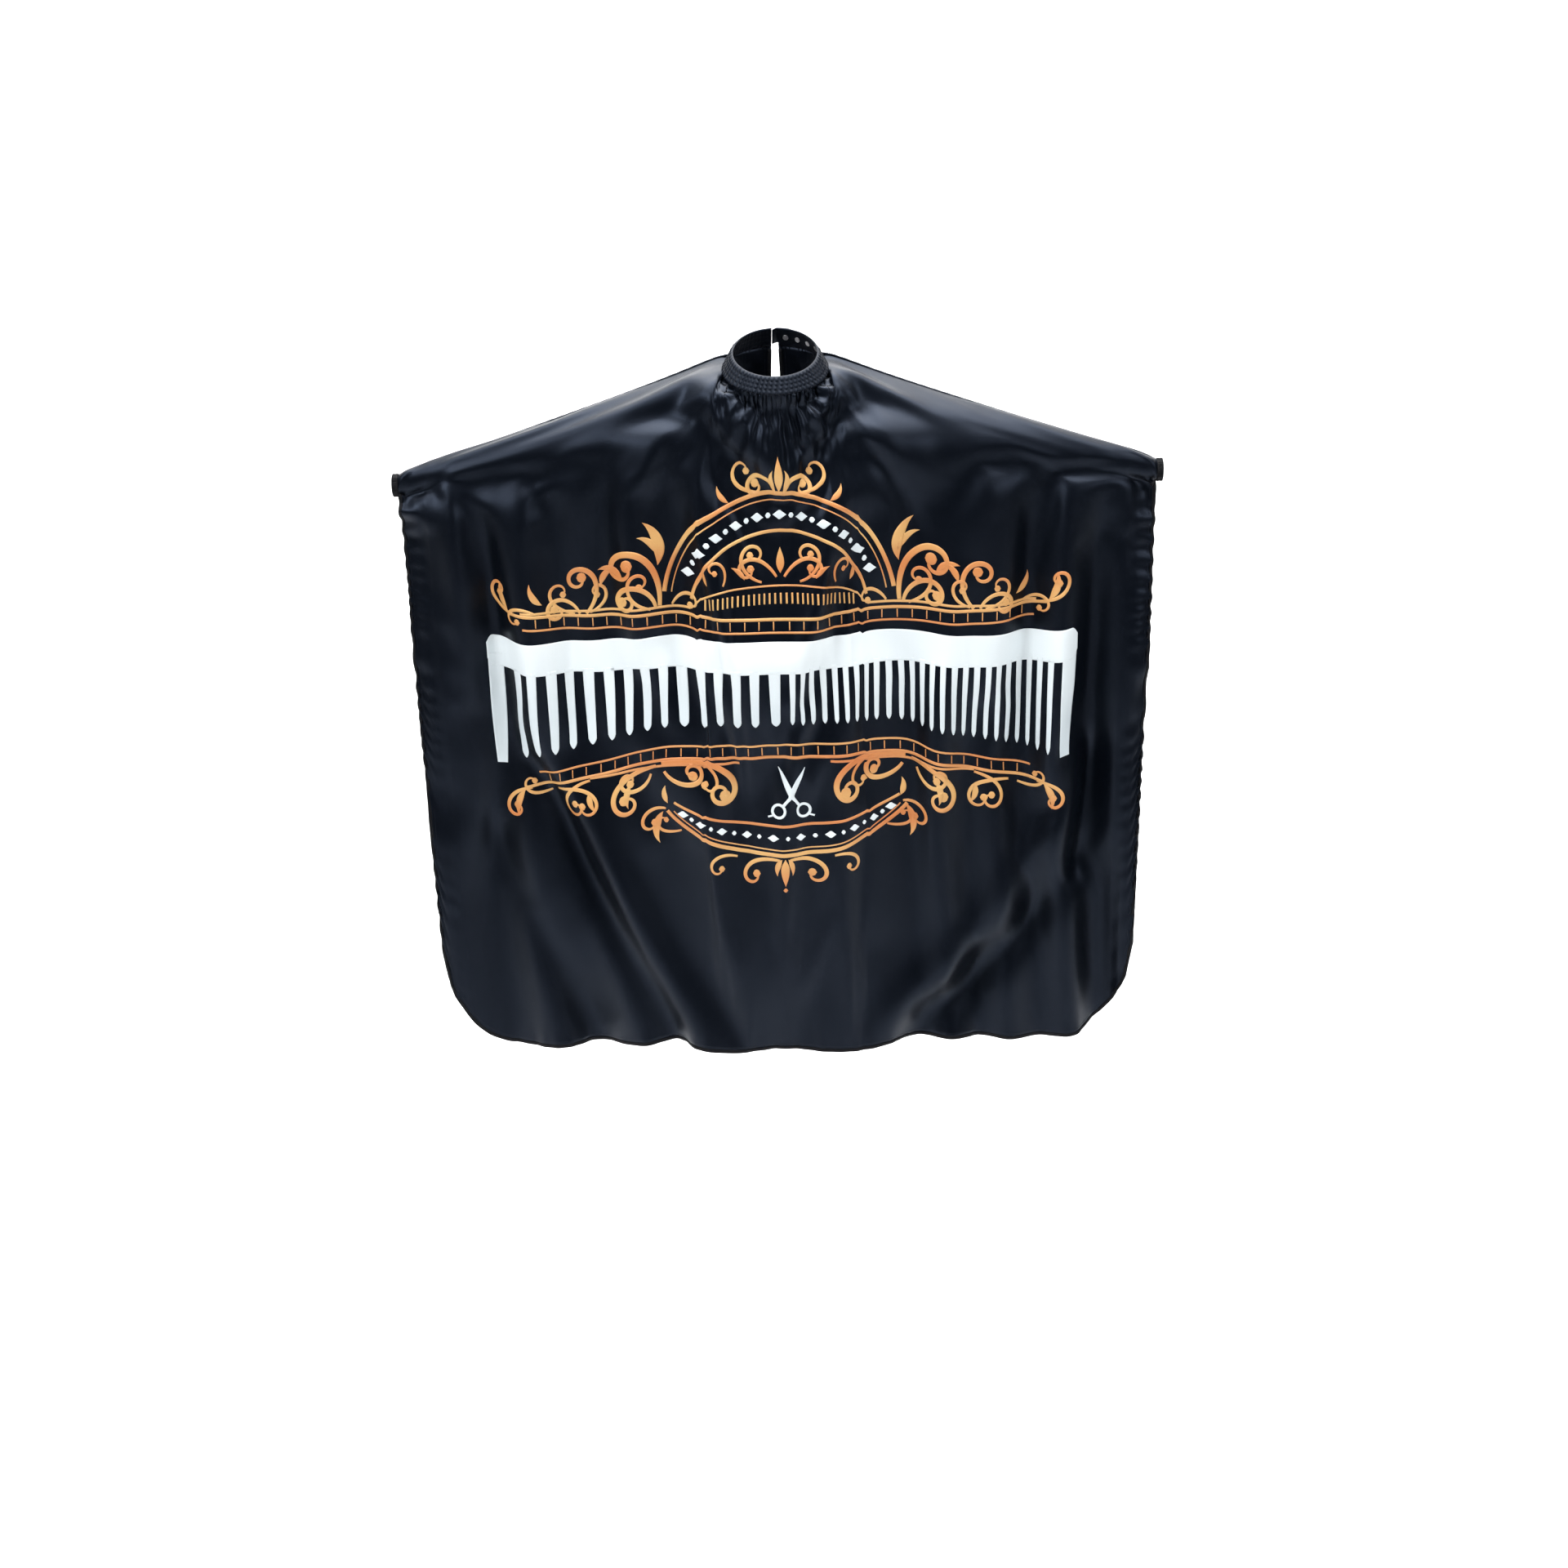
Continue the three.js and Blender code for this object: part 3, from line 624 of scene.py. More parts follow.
def back_flat(side):
    """Flat places of a back panel's cells, from the middle of the back out to the wrist."""
    inner = np.linspace(BACK_MIDDLE, BACK_NECK, 13)
    x = np.concatenate([inner, np.linspace(BACK_NECK, BACK_HALF, BACK_COLUMNS - 11)[1:]])
    reach = np.clip((x - BACK_NECK) / (BACK_HALF - BACK_NECK), 0, 1)
    nape = -NAPE_DROP * np.sqrt(np.maximum(1 - (x / BACK_NECK) ** 2, 0))
    top = np.where(x < BACK_NECK, nape, -SEAM_FALL * reach)
    low = -0.345 - 0.060 * (x / BACK_HALF) ** 1.5
    corner = np.maximum(x - (BACK_HALF - BACK_CORNER), 0)
    bottom = low + BACK_CORNER - np.sqrt(np.maximum(BACK_CORNER ** 2 - corner ** 2, 0))
    step = np.linspace(0, 1, BACK_ROWS + 1)
    z = top[:, None] + (bottom - top)[:, None] * step[None, :]
    return np.stack([np.broadcast_to(side * x[:, None], z.shape), z], axis=-1)


def back_start(flat, side):
    """A back panel roughly in place, hanging behind the seam and the nape."""
    x, z = np.abs(flat[..., 0]), flat[..., 1]
    top_x = x[:, 0]
    reach = np.clip((top_x - BACK_NECK) / (BACK_HALF - BACK_NECK), 0, 1)
    share = np.clip((top_x - BACK_MIDDLE) / (BACK_NECK - BACK_MIDDLE), 0, 1)
    angle = BAND_END - (BAND_END - NECK_EDGE) * share
    seam = np.array([ridge_point(r, 1.0) for r in reach])
    top = np.where((top_x < BACK_NECK)[:, None], ring_points(BAND_FOOT, angle), seam)
    down = z[:, :1] - z
    spread_x = SLIT + (CLOTH_EDGE_X - SLIT) * (x - BACK_MIDDLE) / (BACK_HALF - BACK_MIDDLE)
    hung_x = mix(top[:, :1], spread_x, smooth(0.0, 0.20, down))
    plumb = mix(0.088, 0.018, np.clip(x / BACK_HALF, 0, 1) ** 1.2)
    hung_y = mix(top[:, 1:2], plumb, np.sin(np.clip(down / 0.10, 0, 1) * math.pi / 2))
    lane = x / 0.16 + 0.8 * ripple(11 if side > 0 else 12, 4, x / BACK_HALF)
    hung_y += 0.006 * smooth(0.03, 0.25, down) * np.sin(TAU * lane)
    place = hang(top, hung_x, hung_y, down)
    lifted = (CUFF_TAKE - 2 * CUFF_RADIUS) * smooth(0, CUFF_TAKE, down)
    place[..., 2] += lifted * np.exp(-((BACK_HALF - x) / 0.06) ** 2)
    place[..., 0] *= side
    return place


def sewn_top(flat):
    """Which cells are sewn fast: to begin with, the top row."""
    sewn = np.zeros(flat.shape[:2], bool)
    sewn[:, 0] = True
    return sewn


def sew_cuff(flat, place, sewn, column, side, facing):
    """Gathers the top of a side edge round half of the cuff."""
    taken = flat[column, 0, 1] - flat[column, :, 1]
    on = taken <= CUFF_TAKE
    place[column, on] = cuff_points(taken[on] / CUFF_TAKE, side, facing)
    sewn[column] |= on


def hang_cape(sizes):
    """Cuts, sews and hangs all three panels. Gives the name, flat grid and hung grid of each."""
    flat = front_flat(sizes)
    place, sewn = front_start(flat, sizes), sewn_top(flat)
    sew_cuff(flat, place, sewn, 0, -1, -1)
    sew_cuff(flat, place, sewn, -1, 1, -1)
    sheets = [("front", flat, place, sewn)]
    for name, side in (("left", -1), ("right", 1)):
        flat = back_flat(side)
        place, sewn = back_start(flat, side), sewn_top(flat)
        sew_cuff(flat, place, sewn, -1, side, 1)
        if side > 0:                   # columns run towards -X, so that the outer face is the back
            flat, place, sewn = flat[::-1], place[::-1], sewn[::-1]
        sheets.append((name, flat.copy(), place.copy(), sewn.copy()))
    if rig.quick():
        return [(name, flat, place) for name, flat, place, _ in sheets]
    wearer = make_wearer()
    settled = settle(sheets, sizes.settle_frames)
    for shape in wearer:
        bpy.data.objects.remove(shape)
    return [(name, flat, place) for (name, flat, _, _), place in zip(sheets, settled)]


def edge_puckers(edge_distance, along, seed, size):
    """Small waves pulled up by the binding's stitches, fading away from the edge."""
    phase = along / 0.034 + 1.6 * ripple(seed, 40, along / 3.2)
    strength = 0.55 + 0.45 * ripple(seed + 1, 60, along / 3.2)
    return size * strength * np.sin(TAU * phase) * np.exp(-edge_distance / 0.022)


def straight_sides(flat, place):
    """Draws each side edge out to the straight line it hangs on, from the cuff to the lower corner."""
    place = place.copy()
    for column, side in ((0, -1), (-1, 1)):
        down = flat[column, 0, 1] - flat[column, :, 1]
        line = mix(CLOTH_EDGE_X + 0.001, HEM_HALF, np.clip((down - CUFF_TAKE) / 0.95, 0, 1))
        shift = (side * line - place[column, :, 0]) * smooth(CUFF_TAKE * 0.9, CUFF_TAKE * 1.4, down) * 0.85
        distance = np.abs(flat[column:column + 1 or None, :, 0] - flat[..., 0])
        place[..., 0] += shift[None, :] * np.exp(-(distance / 0.13) ** 2)
    return place


def finish_front(flat, place):
    """Finer cells, the gathers under the band and the puckers beside the binding."""
    place = straight_sides(flat, relax(place, 2))
    flat, place = finer(flat, place)
    x, z = flat[..., 0], flat[..., 1]
    down = z[:, :1] - z
    turn = np.arcsin(np.clip(x / NECK_HALF, -1, 1))
    near_neck = 1 - smooth(0.80 * NECK_HALF, 1.04 * NECK_HALF, np.abs(x) - 0.35 * down)
    fine = 0.0016 * np.sin(34 * turn + 2.2 * ripple(21, 9, turn / 3.2 + 0.5)) * np.exp(-down / 0.022)
    fan = x / (0.105 + down)
    long = 0.0054 * np.sin(TAU * fan / 0.17 + 1.9 * ripple(22, 7, fan / 3.2 + 0.5)) * np.exp(-down / 0.125)
    long *= 0.65 + 0.35 * ripple(23, 6, fan / 3.2 + 0.5)
    lift = (fine + long) * near_neck * smooth(0, 0.004, down)
    edge_x = np.abs(flat[[0, -1], :, 0]).max(axis=0)[None, :]
    side_distance = edge_x - np.abs(x)
    hem_distance = z - z[:, -1:]
    slant = -z + 0.35 * side_distance + (x > 0) * 1.3
    strip = edge_puckers(side_distance * 0.55, slant, 31, 0.0036)
    strip *= 1 - smooth(0.8 * STRIP, STRIP, side_distance)
    strip = strip - 0.0016 * np.exp(-((side_distance - STRIP) / 0.0045) ** 2)
    lift += strip * smooth(0.06, 0.12, down)
    lift += edge_puckers(hem_distance, x + 0.8, 33, 0.0014)
    return flat, place + lift[..., None] * grid_normals(place)


def finish_back(flat, place, side):
    place = relax(place, 2)
    place[..., 0] = side * np.maximum(side * place[..., 0], 0.0045)
    flat, place = finer(flat, place)
    x, z = np.abs(flat[..., 0]), flat[..., 1]
    down = z[:, :1] - z
    lift = 0.0012 * np.sin(TAU * x / 0.009) * np.exp(-down / 0.03) * (x < BACK_NECK) * smooth(0, 0.004, down)
    lift += edge_puckers(BACK_HALF - x, -z + 0.3, 41, 0.0018) * smooth(0.06, 0.12, down)
    lift += edge_puckers(z - z[:, -1:], x + 0.5, 43, 0.0012)
    return flat, place + lift[..., None] * grid_normals(place)


# ---------------------------------------------------------------- closed solids from grids and paths

def add_uv(mesh, per_vertex):
    layer = mesh.uv_layers.new(name="UVMap")
    corners = np.empty(len(mesh.loops), int)
    mesh.loops.foreach_get("vertex_index", corners)
    layer.data.foreach_set("uv", np.asarray(per_vertex, np.float32)[corners].ravel())


def cloth_solid(name, grid, flat, thickness, material):
    """A thin closed sheet on a grid of points, with the flat pattern in metres as its UV."""
    normal = grid_normals(grid) * thickness / 2
    points = np.concatenate([(grid + normal).reshape(-1, 3), (grid - normal).reshape(-1, 3)])
    index = grid_index(*grid.shape[:2])
    obj = new_mesh_object(name, points, sheet_faces(index, index.size), material)
    add_uv(obj.data, np.tile(flat.reshape(-1, 2), (2, 1)))
    return obj


def outward(mesh):
    work = bmesh.new()
    work.from_mesh(mesh)
    bmesh.ops.recalc_face_normals(work, faces=work.faces)
    work.to_mesh(mesh)
    work.free()


def swept(name, rings, material, closed=False):
    """A closed solid through cross-sections, each a ring of points; the path may close on itself."""
    rings = np.asarray(rings, float)
    count, sides = rings.shape[:2]
    faces = []
    for k in range(count if closed else count - 1):
        a, b = k * sides, ((k + 1) % count) * sides
        for j in range(sides):
            n = (j + 1) % sides
            faces.append((a + j, a + n, b + n, b + j))
    if not closed:
        faces.append(tuple(range(sides))[::-1])
        faces.append(tuple(range((count - 1) * sides, count * sides)))
    obj = new_mesh_object(name, rings.reshape(-1, 3), faces, material)
    along = run_length(rings.mean(axis=1))
    around = np.linspace(0, 1, sides, endpoint=False) * 0.02
    uv = np.stack(np.broadcast_arrays(along[:, None], around[None, :]), axis=-1)
    outward(obj.data)
    add_uv(obj.data, uv.reshape(-1, 2))
    return obj


def path_frames(path, normal):
    """Unit normals square to a path, and the direction that lies across it on the cloth."""
    tangent = unit(np.gradient(path, axis=0))
    normal = unit(normal - tangent * (normal * tangent).sum(-1, keepdims=True))
    return normal, np.cross(normal, tangent)


def evened(path, step):
    """Points an even distance apart along a path, with the arrays given beside it."""
    length = run_length(path[0])
    count = max(int(round(length[-1] / step)), 2)
    wanted = np.linspace(0, length[-1], count + 1)
    return [np.stack([np.interp(wanted, length, values[:, k]) for k in range(values.shape[1])], axis=-1)
            for values in path]


def binding_tape(name, path, normal, material):
    """A folded tape that wraps an edge: a flat rounded section whose outer side passes the edge."""
    path, normal = evened([path, normal], 0.004)
    normal, aside = path_frames(path, normal)
    wobble = 0.00025 * np.sin(TAU * np.arange(len(path)) / 4.3)
    section = [(-0.0006, 0.0), (0.0, 0.0009), (0.0030, 0.0010), (0.0056, 0.0008),
               (0.0060, 0.0), (0.0056, -0.0008), (0.0030, -0.0010), (0.0, -0.0009)]
    rings = [path + aside * inward + normal * (out + wobble * np.sign(out))[:, None]
             for inward, out in section]
    return swept(name, np.stack(rings, axis=1), material)


# ---------------------------------------------------------------- materials

def group_tree(name, inputs):
    """A shader group that turns a place on the cloth into a colour, a roughness and a bump height."""
    tree = bpy.data.node_groups.new(name, "ShaderNodeTree")
    tree.interface.new_socket(name="Place", in_out="INPUT", socket_type="NodeSocketVector")
    for label, value in inputs.items():
        kind = "NodeSocketColor" if isinstance(value, tuple) else "NodeSocketFloat"
        tree.interface.new_socket(name=label, in_out="INPUT", socket_type=kind).default_value = value
    for label, kind in (("Colour", "Color"), ("Roughness", "Float"), ("Height", "Float")):
        tree.interface.new_socket(name=label, in_out="OUTPUT", socket_type=f"NodeSocket{kind}")
    return tree, tree.nodes.new("NodeGroupInput").outputs, tree.nodes.new("NodeGroupOutput").inputs


def feed(tree, sockets, values):
    """Sets each socket to a plain value, or links it to another node's output."""
    for socket, value in zip(sockets, values):
        if isinstance(value, (int, float, tuple)):
            socket.default_value = value
        else:
            tree.links.new(value, socket)


def math_in(tree):
    """A short way to add sums to a shader group."""

    def sum_of(operation, a, b=0.0):
        node = tree.nodes.new("ShaderNodeMath")
        node.operation = operation
        feed(tree, node.inputs, (a, b))
        return node.outputs[0]

    return sum_of


def noise_node(tree, vector, scale, detail):
    node = tree.nodes.new("ShaderNodeTexNoise")
    node.inputs["Scale"].default_value = scale
    node.inputs["Detail"].default_value = detail
    tree.links.new(vector, node.inputs["Vector"])
    return node.outputs["Fac"]


def blend_colours(tree, factor, a, b, mode="MIX"):
    node = tree.nodes.new("ShaderNodeMix")
    node.data_type, node.blend_type = "RGBA", mode
    feed(tree, (node.inputs[0], node.inputs[6], node.inputs[7]), (factor, a, b))
    return node.outputs[2]


def weave_group():
    """Fine crossed threads with slubs, from a flat place in metres."""
    tree, given, made = group_tree("Weave", {
        "Thread Pitch": 0.0007, "Colour": (0.1, 0.1, 0.1, 1), "Roughness": 0.45, "Variation": 0.25})
    calc, link = math_in(tree), tree.links.new
    split = tree.nodes.new("ShaderNodeSeparateXYZ")
    link(given["Place"], split.inputs[0])
    turns = calc("DIVIDE", TAU, given["Thread Pitch"])
    warp, weft = [calc("SINE", calc("MULTIPLY", split.outputs[axis], turns)) for axis in (0, 1)]
    threads = calc("MULTIPLY", warp, weft)
    slub = noise_node(tree, given["Place"], 900.0, 2.0)
    cloud = noise_node(tree, given["Place"], 14.0, 4.0)
    link(calc("ADD", calc("MULTIPLY", threads, 0.5), slub), made["Height"])
    dark = blend_colours(tree, 1.0, given["Colour"], (0.62, 0.62, 0.66, 1), "MULTIPLY")
    factor = calc("MULTIPLY", calc("ADD", cloud, calc("MULTIPLY", slub, 0.4)), given["Variation"])
    link(blend_colours(tree, factor, given["Colour"], dark), made["Colour"])
    uneven = calc("MULTIPLY", calc("SUBTRACT", cloud, 0.5), 0.16)
    link(calc("ADD", given["Roughness"], uneven), made["Roughness"])
    return tree


def ink_group():
    """Print that runs from one tone to another up the cloth, with the faint unevenness of ink."""
    tree, given, made = group_tree("Ink", {
        "Light": (0.8, 0.5, 0.2, 1), "Deep": (0.7, 0.2, 0.05, 1), "Band Height": 0.16})
    calc, link = math_in(tree), tree.links.new
    split = tree.nodes.new("ShaderNodeSeparateXYZ")
    link(given["Place"], split.inputs[0])
    drift = noise_node(tree, given["Place"], 5.0, 2.0)
    cycle = calc("MULTIPLY", calc("DIVIDE", split.outputs[1], given["Band Height"]), TAU)
    tone = calc("ADD", calc("MULTIPLY", calc("SINE", cycle), 0.35), drift)
    grain = noise_node(tree, given["Place"], 700.0, 2.0)
    tone = calc("ADD", tone, calc("MULTIPLY", calc("SUBTRACT", grain, 0.5), 0.3))
    link(blend_colours(tree, tone, given["Light"], given["Deep"]), made["Colour"])
    link(calc("ADD", calc("MULTIPLY", grain, 0.2), 0.42), made["Roughness"])
    link(grain, made["Height"])
    return tree


def metal_group():
    """Plated metal: fine turning marks and faint smudges."""
    tree, given, made = group_tree("Plating", {"Colour": (0.6, 0.6, 0.62, 1), "Roughness": 0.24})
    calc, link = math_in(tree), tree.links.new
    marks = noise_node(tree, given["Place"], 2600.0, 2.0)
    smudge = noise_node(tree, given["Place"], 240.0, 4.0)
    worn = blend_colours(tree, calc("MULTIPLY", smudge, 0.4), given["Colour"], (0.34, 0.34, 0.36, 1))
    link(worn, made["Colour"])
    link(calc("ADD", given["Roughness"], calc("MULTIPLY", smudge, 0.22)), made["Roughness"])
    link(marks, made["Height"])
    return tree


def finish_material(name, group, values, bump, place="UV", **uniform):
    """A material whose colour, roughness and bump come from one of the groups."""
    material = bpy.data.materials.new(name)
    material.use_nodes = True
    tree = material.node_tree
    shader = tree.nodes["Principled BSDF"]
    where = tree.nodes.new("ShaderNodeTexCoord")
    node = tree.nodes.new("ShaderNodeGroup")
    node.node_tree = group
    tree.links.new(where.outputs[place], node.inputs["Place"])
    for label, value in values.items():
        node.inputs[label].default_value = value
    tree.links.new(node.outputs["Colour"], shader.inputs["Base Color"])
    tree.links.new(node.outputs["Roughness"], shader.inputs["Roughness"])
    relief = tree.nodes.new("ShaderNodeBump")
    relief.inputs["Strength"].default_value = bump[0]
    relief.inputs["Distance"].default_value = bump[1]
    tree.links.new(node.outputs["Height"], relief.inputs["Height"])
    tree.links.new(relief.outputs["Normal"], shader.inputs["Normal"])
    for label, value in uniform.items():
        shader.inputs[label.replace("_", " ")].default_value = value
    return material


def material(name):
    found = bpy.data.materials.get(name)
    if found is None:
        raise RuntimeError(f"make the finishes first: there is no {name}")
    return found


def colour4(value):
    return (*value, 1.0)


def make_finishes(sizes):
    weave, ink, plating = weave_group(), ink_group(), metal_group()
    satin = {"Colour": colour4(sizes.satin_colour), "Roughness": 0.37, "Variation": 0.35}
    finish_material("Satin", weave, satin, (0.25, 0.00012),
                    Sheen_Weight=0.015, Sheen_Roughness=0.35, Sheen_Tint=(0.45, 0.62, 1.0, 1),
                    Specular_IOR_Level=0.21, Specular_Tint=(0.56, 0.70, 1.0, 1))
    finish_material("Shirred Satin", weave, {**satin, "Roughness": 0.46}, (0.35, 0.00015),
                    Sheen_Weight=0.01, Sheen_Tint=(0.45, 0.62, 1.0, 1),
                    Specular_IOR_Level=0.14, Specular_Tint=(0.56, 0.70, 1.0, 1))
    finish_material("Binding", weave, {"Colour": (0.0022, 0.0024, 0.004, 1), "Roughness": 0.6,
                                       "Thread Pitch": 0.0009, "Variation": 0.5}, (0.4, 0.0002),
                    Specular_IOR_Level=0.15)
    finish_material("Elastic", weave, {"Colour": (0.0035, 0.0038, 0.0055, 1), "Roughness": 0.68,
                                       "Thread Pitch": 0.0016, "Variation": 0.5}, (0.6, 0.0004),
                    Specular_IOR_Level=0.15)
    finish_material("Thread", weave, {"Colour": (0.007, 0.009, 0.015, 1), "Roughness": 0.5,
                                      "Thread Pitch": 0.0005, "Variation": 0.6}, (0.3, 0.0001),
                    place="Object", Specular_IOR_Level=0.2)
    finish_material("White Ink", ink, {"Light": colour4(sizes.ink_white), "Deep": (0.64, 0.72, 0.76, 1),
                                       "Band Height": 0.4}, (0.12, 0.0001))
    finish_material("Gold Ink", ink, {"Light": colour4(sizes.ink_gold), "Deep": colour4(sizes.ink_copper),
                                      "Band Height": 0.11}, (0.12, 0.0001))
    finish_material("Nickel", plating, {}, (0.06, 0.00004), place="Object", Metallic=1.0)


# ---------------------------------------------------------------- stitches

def stitch_tree():
    """Geometry nodes: rounded stitches an even distance apart along each line of the mesh."""
    tree = bpy.data.node_groups.new("Stitch Row", "GeometryNodeTree")
    face = tree.interface
    face.new_socket(name="Line", in_out="INPUT", socket_type="NodeSocketGeometry")
    for label, value in (("Spacing", 0.003), ("Stitch Length", 0.0022), ("Thread Radius", 0.0003)):
        face.new_socket(name=label, in_out="INPUT", socket_type="NodeSocketFloat").default_value = value
    face.new_socket(name="Finish", in_out="INPUT", socket_type="NodeSocketMaterial")
    face.new_socket(name="Stitches", in_out="OUTPUT", socket_type="NodeSocketGeometry")
    new, link = tree.nodes.new, tree.links.new
    source, sink = new("NodeGroupInput"), new("NodeGroupOutput")
    curve = new("GeometryNodeMeshToCurve")
    link(source.outputs["Line"], curve.inputs[0])
    even = new("GeometryNodeResampleCurve")
    even.mode = "LENGTH"
    link(curve.outputs[0], even.inputs["Curve"])
    link(source.outputs["Spacing"], even.inputs["Length"])
    ball = new("GeometryNodeMeshUVSphere")
    for label, value in (("Segments", 6), ("Rings", 4), ("Radius", 1.0)):
        ball.inputs[label].default_value = value
    half = new("ShaderNodeMath")
    half.operation = "MULTIPLY"
    half.inputs[1].default_value = 0.5
    link(source.outputs["Stitch Length"], half.inputs[0])
    size = new("ShaderNodeCombineXYZ")
    link(source.outputs["Thread Radius"], size.inputs[0])
    link(source.outputs["Thread Radius"], size.inputs[1])
    link(half.outputs[0], size.inputs[2])
    tangent = new("GeometryNodeInputTangent")
    align = new("FunctionNodeAlignRotationToVector")
    align.axis = "Z"
    link(tangent.outputs[0], align.inputs["Vector"])
    place = new("GeometryNodeInstanceOnPoints")
    link(even.outputs[0], place.inputs["Points"])
    link(ball.outputs["Mesh"], place.inputs["Instance"])
    link(align.outputs[0], place.inputs["Rotation"])
    link(size.outputs[0], place.inputs["Scale"])
    real = new("GeometryNodeRealizeInstances")
    link(place.outputs[0], real.inputs[0])
    paint = new("GeometryNodeSetMaterial")
    link(real.outputs[0], paint.inputs["Geometry"])
    link(source.outputs["Finish"], paint.inputs["Material"])
    link(paint.outputs[0], sink.inputs[0])
    return tree


def stitches(name, lines, spacing, length, radius=0.0003):
    """A plain mesh of stitches along lines of points."""
    points, edges = [], []
    for line in lines:
        start = len(points)
        points += [tuple(p) for p in line]
        edges += [(k, k + 1) for k in range(start, len(points) - 1)]
    mesh = bpy.data.meshes.new(name)
    mesh.from_pydata(points, edges, [])
    holder = bpy.data.objects.new(name, mesh)
    bpy.context.scene.collection.objects.link(holder)
    tree = bpy.data.node_groups.get("Stitch Row") or stitch_tree()
    modifier = holder.modifiers.new("Stitch Row", "NODES")
    modifier.node_group = tree
    thread = material("Thread")
    values = {"Spacing": spacing, "Stitch Length": length, "Thread Radius": radius, "Finish": thread}
    for item in tree.interface.items_tree:
        if item.in_out == "INPUT" and item.name in values:
            modifier[item.identifier] = values[item.name]
    depsgraph = bpy.context.evaluated_depsgraph_get()
    made = bpy.data.meshes.new_from_object(holder.evaluated_get(depsgraph))
    holder.modifiers.clear()
    holder.data = made
    made.name = name
    made.polygons.foreach_set("use_smooth", [True] * len(made.polygons))
    if not made.materials:
        made.materials.append(thread)
    if not len(made.polygons):
        raise RuntimeError(f"{name} has no stitches")
    return holder


# ---------------------------------------------------------------- places on the hung cloth

HUNG = {}                              # by panel: flat grid, hung grid and its normals
COLUMN_WIDTH = 0.0072                  # about how wide a fine column of the front panel is


def bilinear(values, u, v):
    columns, rows = values.shape[:2]
    u, v = np.clip(u, 0, columns - 1.0001), np.clip(v, 0, rows - 1.0001)
    i, j = u.astype(int), v.astype(int)
    a, b = (u - i)[..., None], (v - j)[..., None]
    return ((values[i, j] * (1 - a) + values[i + 1, j] * a) * (1 - b)
            + (values[i, j + 1] * (1 - a) + values[i + 1, j + 1] * a) * b)


def front_cells(x, z):
    """Which fine cell of the front panel a flat place falls in."""
    flat = HUNG["front"][0]
    columns = np.arange(flat.shape[0])
    top_x, top_z, low_z = flat[:, 0, 0], flat[:, 0, 1], flat[:, -1, 1]
    u = np.interp(x, top_x, columns)
    for _ in range(6):
        top, low = np.interp(u, columns, top_z), np.interp(u, columns, low_z)
        t = np.clip((top - z) / (top - low), 0, 1)
        row = (np.sqrt(ROW_EVEN ** 2 + 4 * ROW_GROWTH * t) - ROW_EVEN) / (2 * ROW_GROWTH)
        v = row * (flat.shape[1] - 1)
        here = bilinear(flat, u, v)[..., 0]
        u = np.clip(u + (x - here) / COLUMN_WIDTH, 0, flat.shape[0] - 1.001)
    return u, v


def on_front(x, z, out=0.0):
    """Where a flat place of the front panel hangs, standing out from it by a little."""
    u, v = front_cells(np.asarray(x, float), np.asarray(z, float))
    _, place, normal = HUNG["front"]
    return bilinear(place, u, v) + unit(bilinear(normal, u, v)) * out


# ---------------------------------------------------------------- the pieces

def build_cloth(sizes):
    """The three satin panels, cut flat, sewn at the neck, seams and cuffs, and hung as cloth."""
    satin = material("Satin")
    for name, flat, place in hang_cape(sizes):
        if name == "front":
            flat, place = finish_front(flat, place)
        else:
            flat, place = finish_back(flat, place, 1 if name == "right" else -1)
        HUNG[name] = (flat, place, grid_normals(place))
    flat, place, _ = HUNG["front"]
    front = cloth_solid("front_satin", place, flat, sizes.thickness, satin)
    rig.ride(front, "cape")
    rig.replaces(front, "front_panel")
    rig.slot(front, "satin")
    for side in ("left", "right"):
        flat, place, _ = HUNG[side]
        back = cloth_solid(f"back_satin_{side}", place, flat, sizes.thickness, satin)
        swing_with_flap(back, side)
        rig.replaces(back, f"back_yoke_{side}", f"back_flap_{side}")
        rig.slot(back, "satin")


def swing_with_flap(piece, side):
    """The piece stays still above the flap's hinge line and swings with the flap below it."""
    hinge = np.array(SWING[side]["pos_m"])
    axis = np.array(SWING[side]["axis"])
    fall = np.array([0.2875 if side == "left" else -0.2875, 0.0309, -0.9573])
    fall = unit(fall - axis * (fall @ axis))
    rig.blend(piece, "cape", f"flap_{side}", tuple(hinge - 0.030 * fall), tuple(hinge + 0.045 * fall))


def panel_edge(name, inset=0.0, out=0.0):
    """Points and normals round a panel's free edge, moved in from the edge along the cloth."""
    flat, place, normal = HUNG[name]
    columns, rows = place.shape[:2]
    down = flat[:, :1, 1] - flat[..., 1]
    first, last = [int(np.searchsorted(down[column], CUFF_TAKE * 0.97)) for column in (0, -1)]
    if name == "left":                 # a back panel has a cuff on one side only
        first = 1
    elif name == "right":
        last = 1
    chain = [(0, j) for j in range(first, rows)] + [(i, rows - 1) for i in range(1, columns)]
    chain += [(columns - 1, j) for j in range(rows - 2, last - 1, -1)]
    pick = tuple(np.array(chain).T)
    path, facing = place[pick], normal[pick]
    if inset or out:
        path, facing = evened([path, facing], 0.004)
        facing, aside = path_frames(path, facing)
        path = path + aside * inset + facing * out
    return path, facing


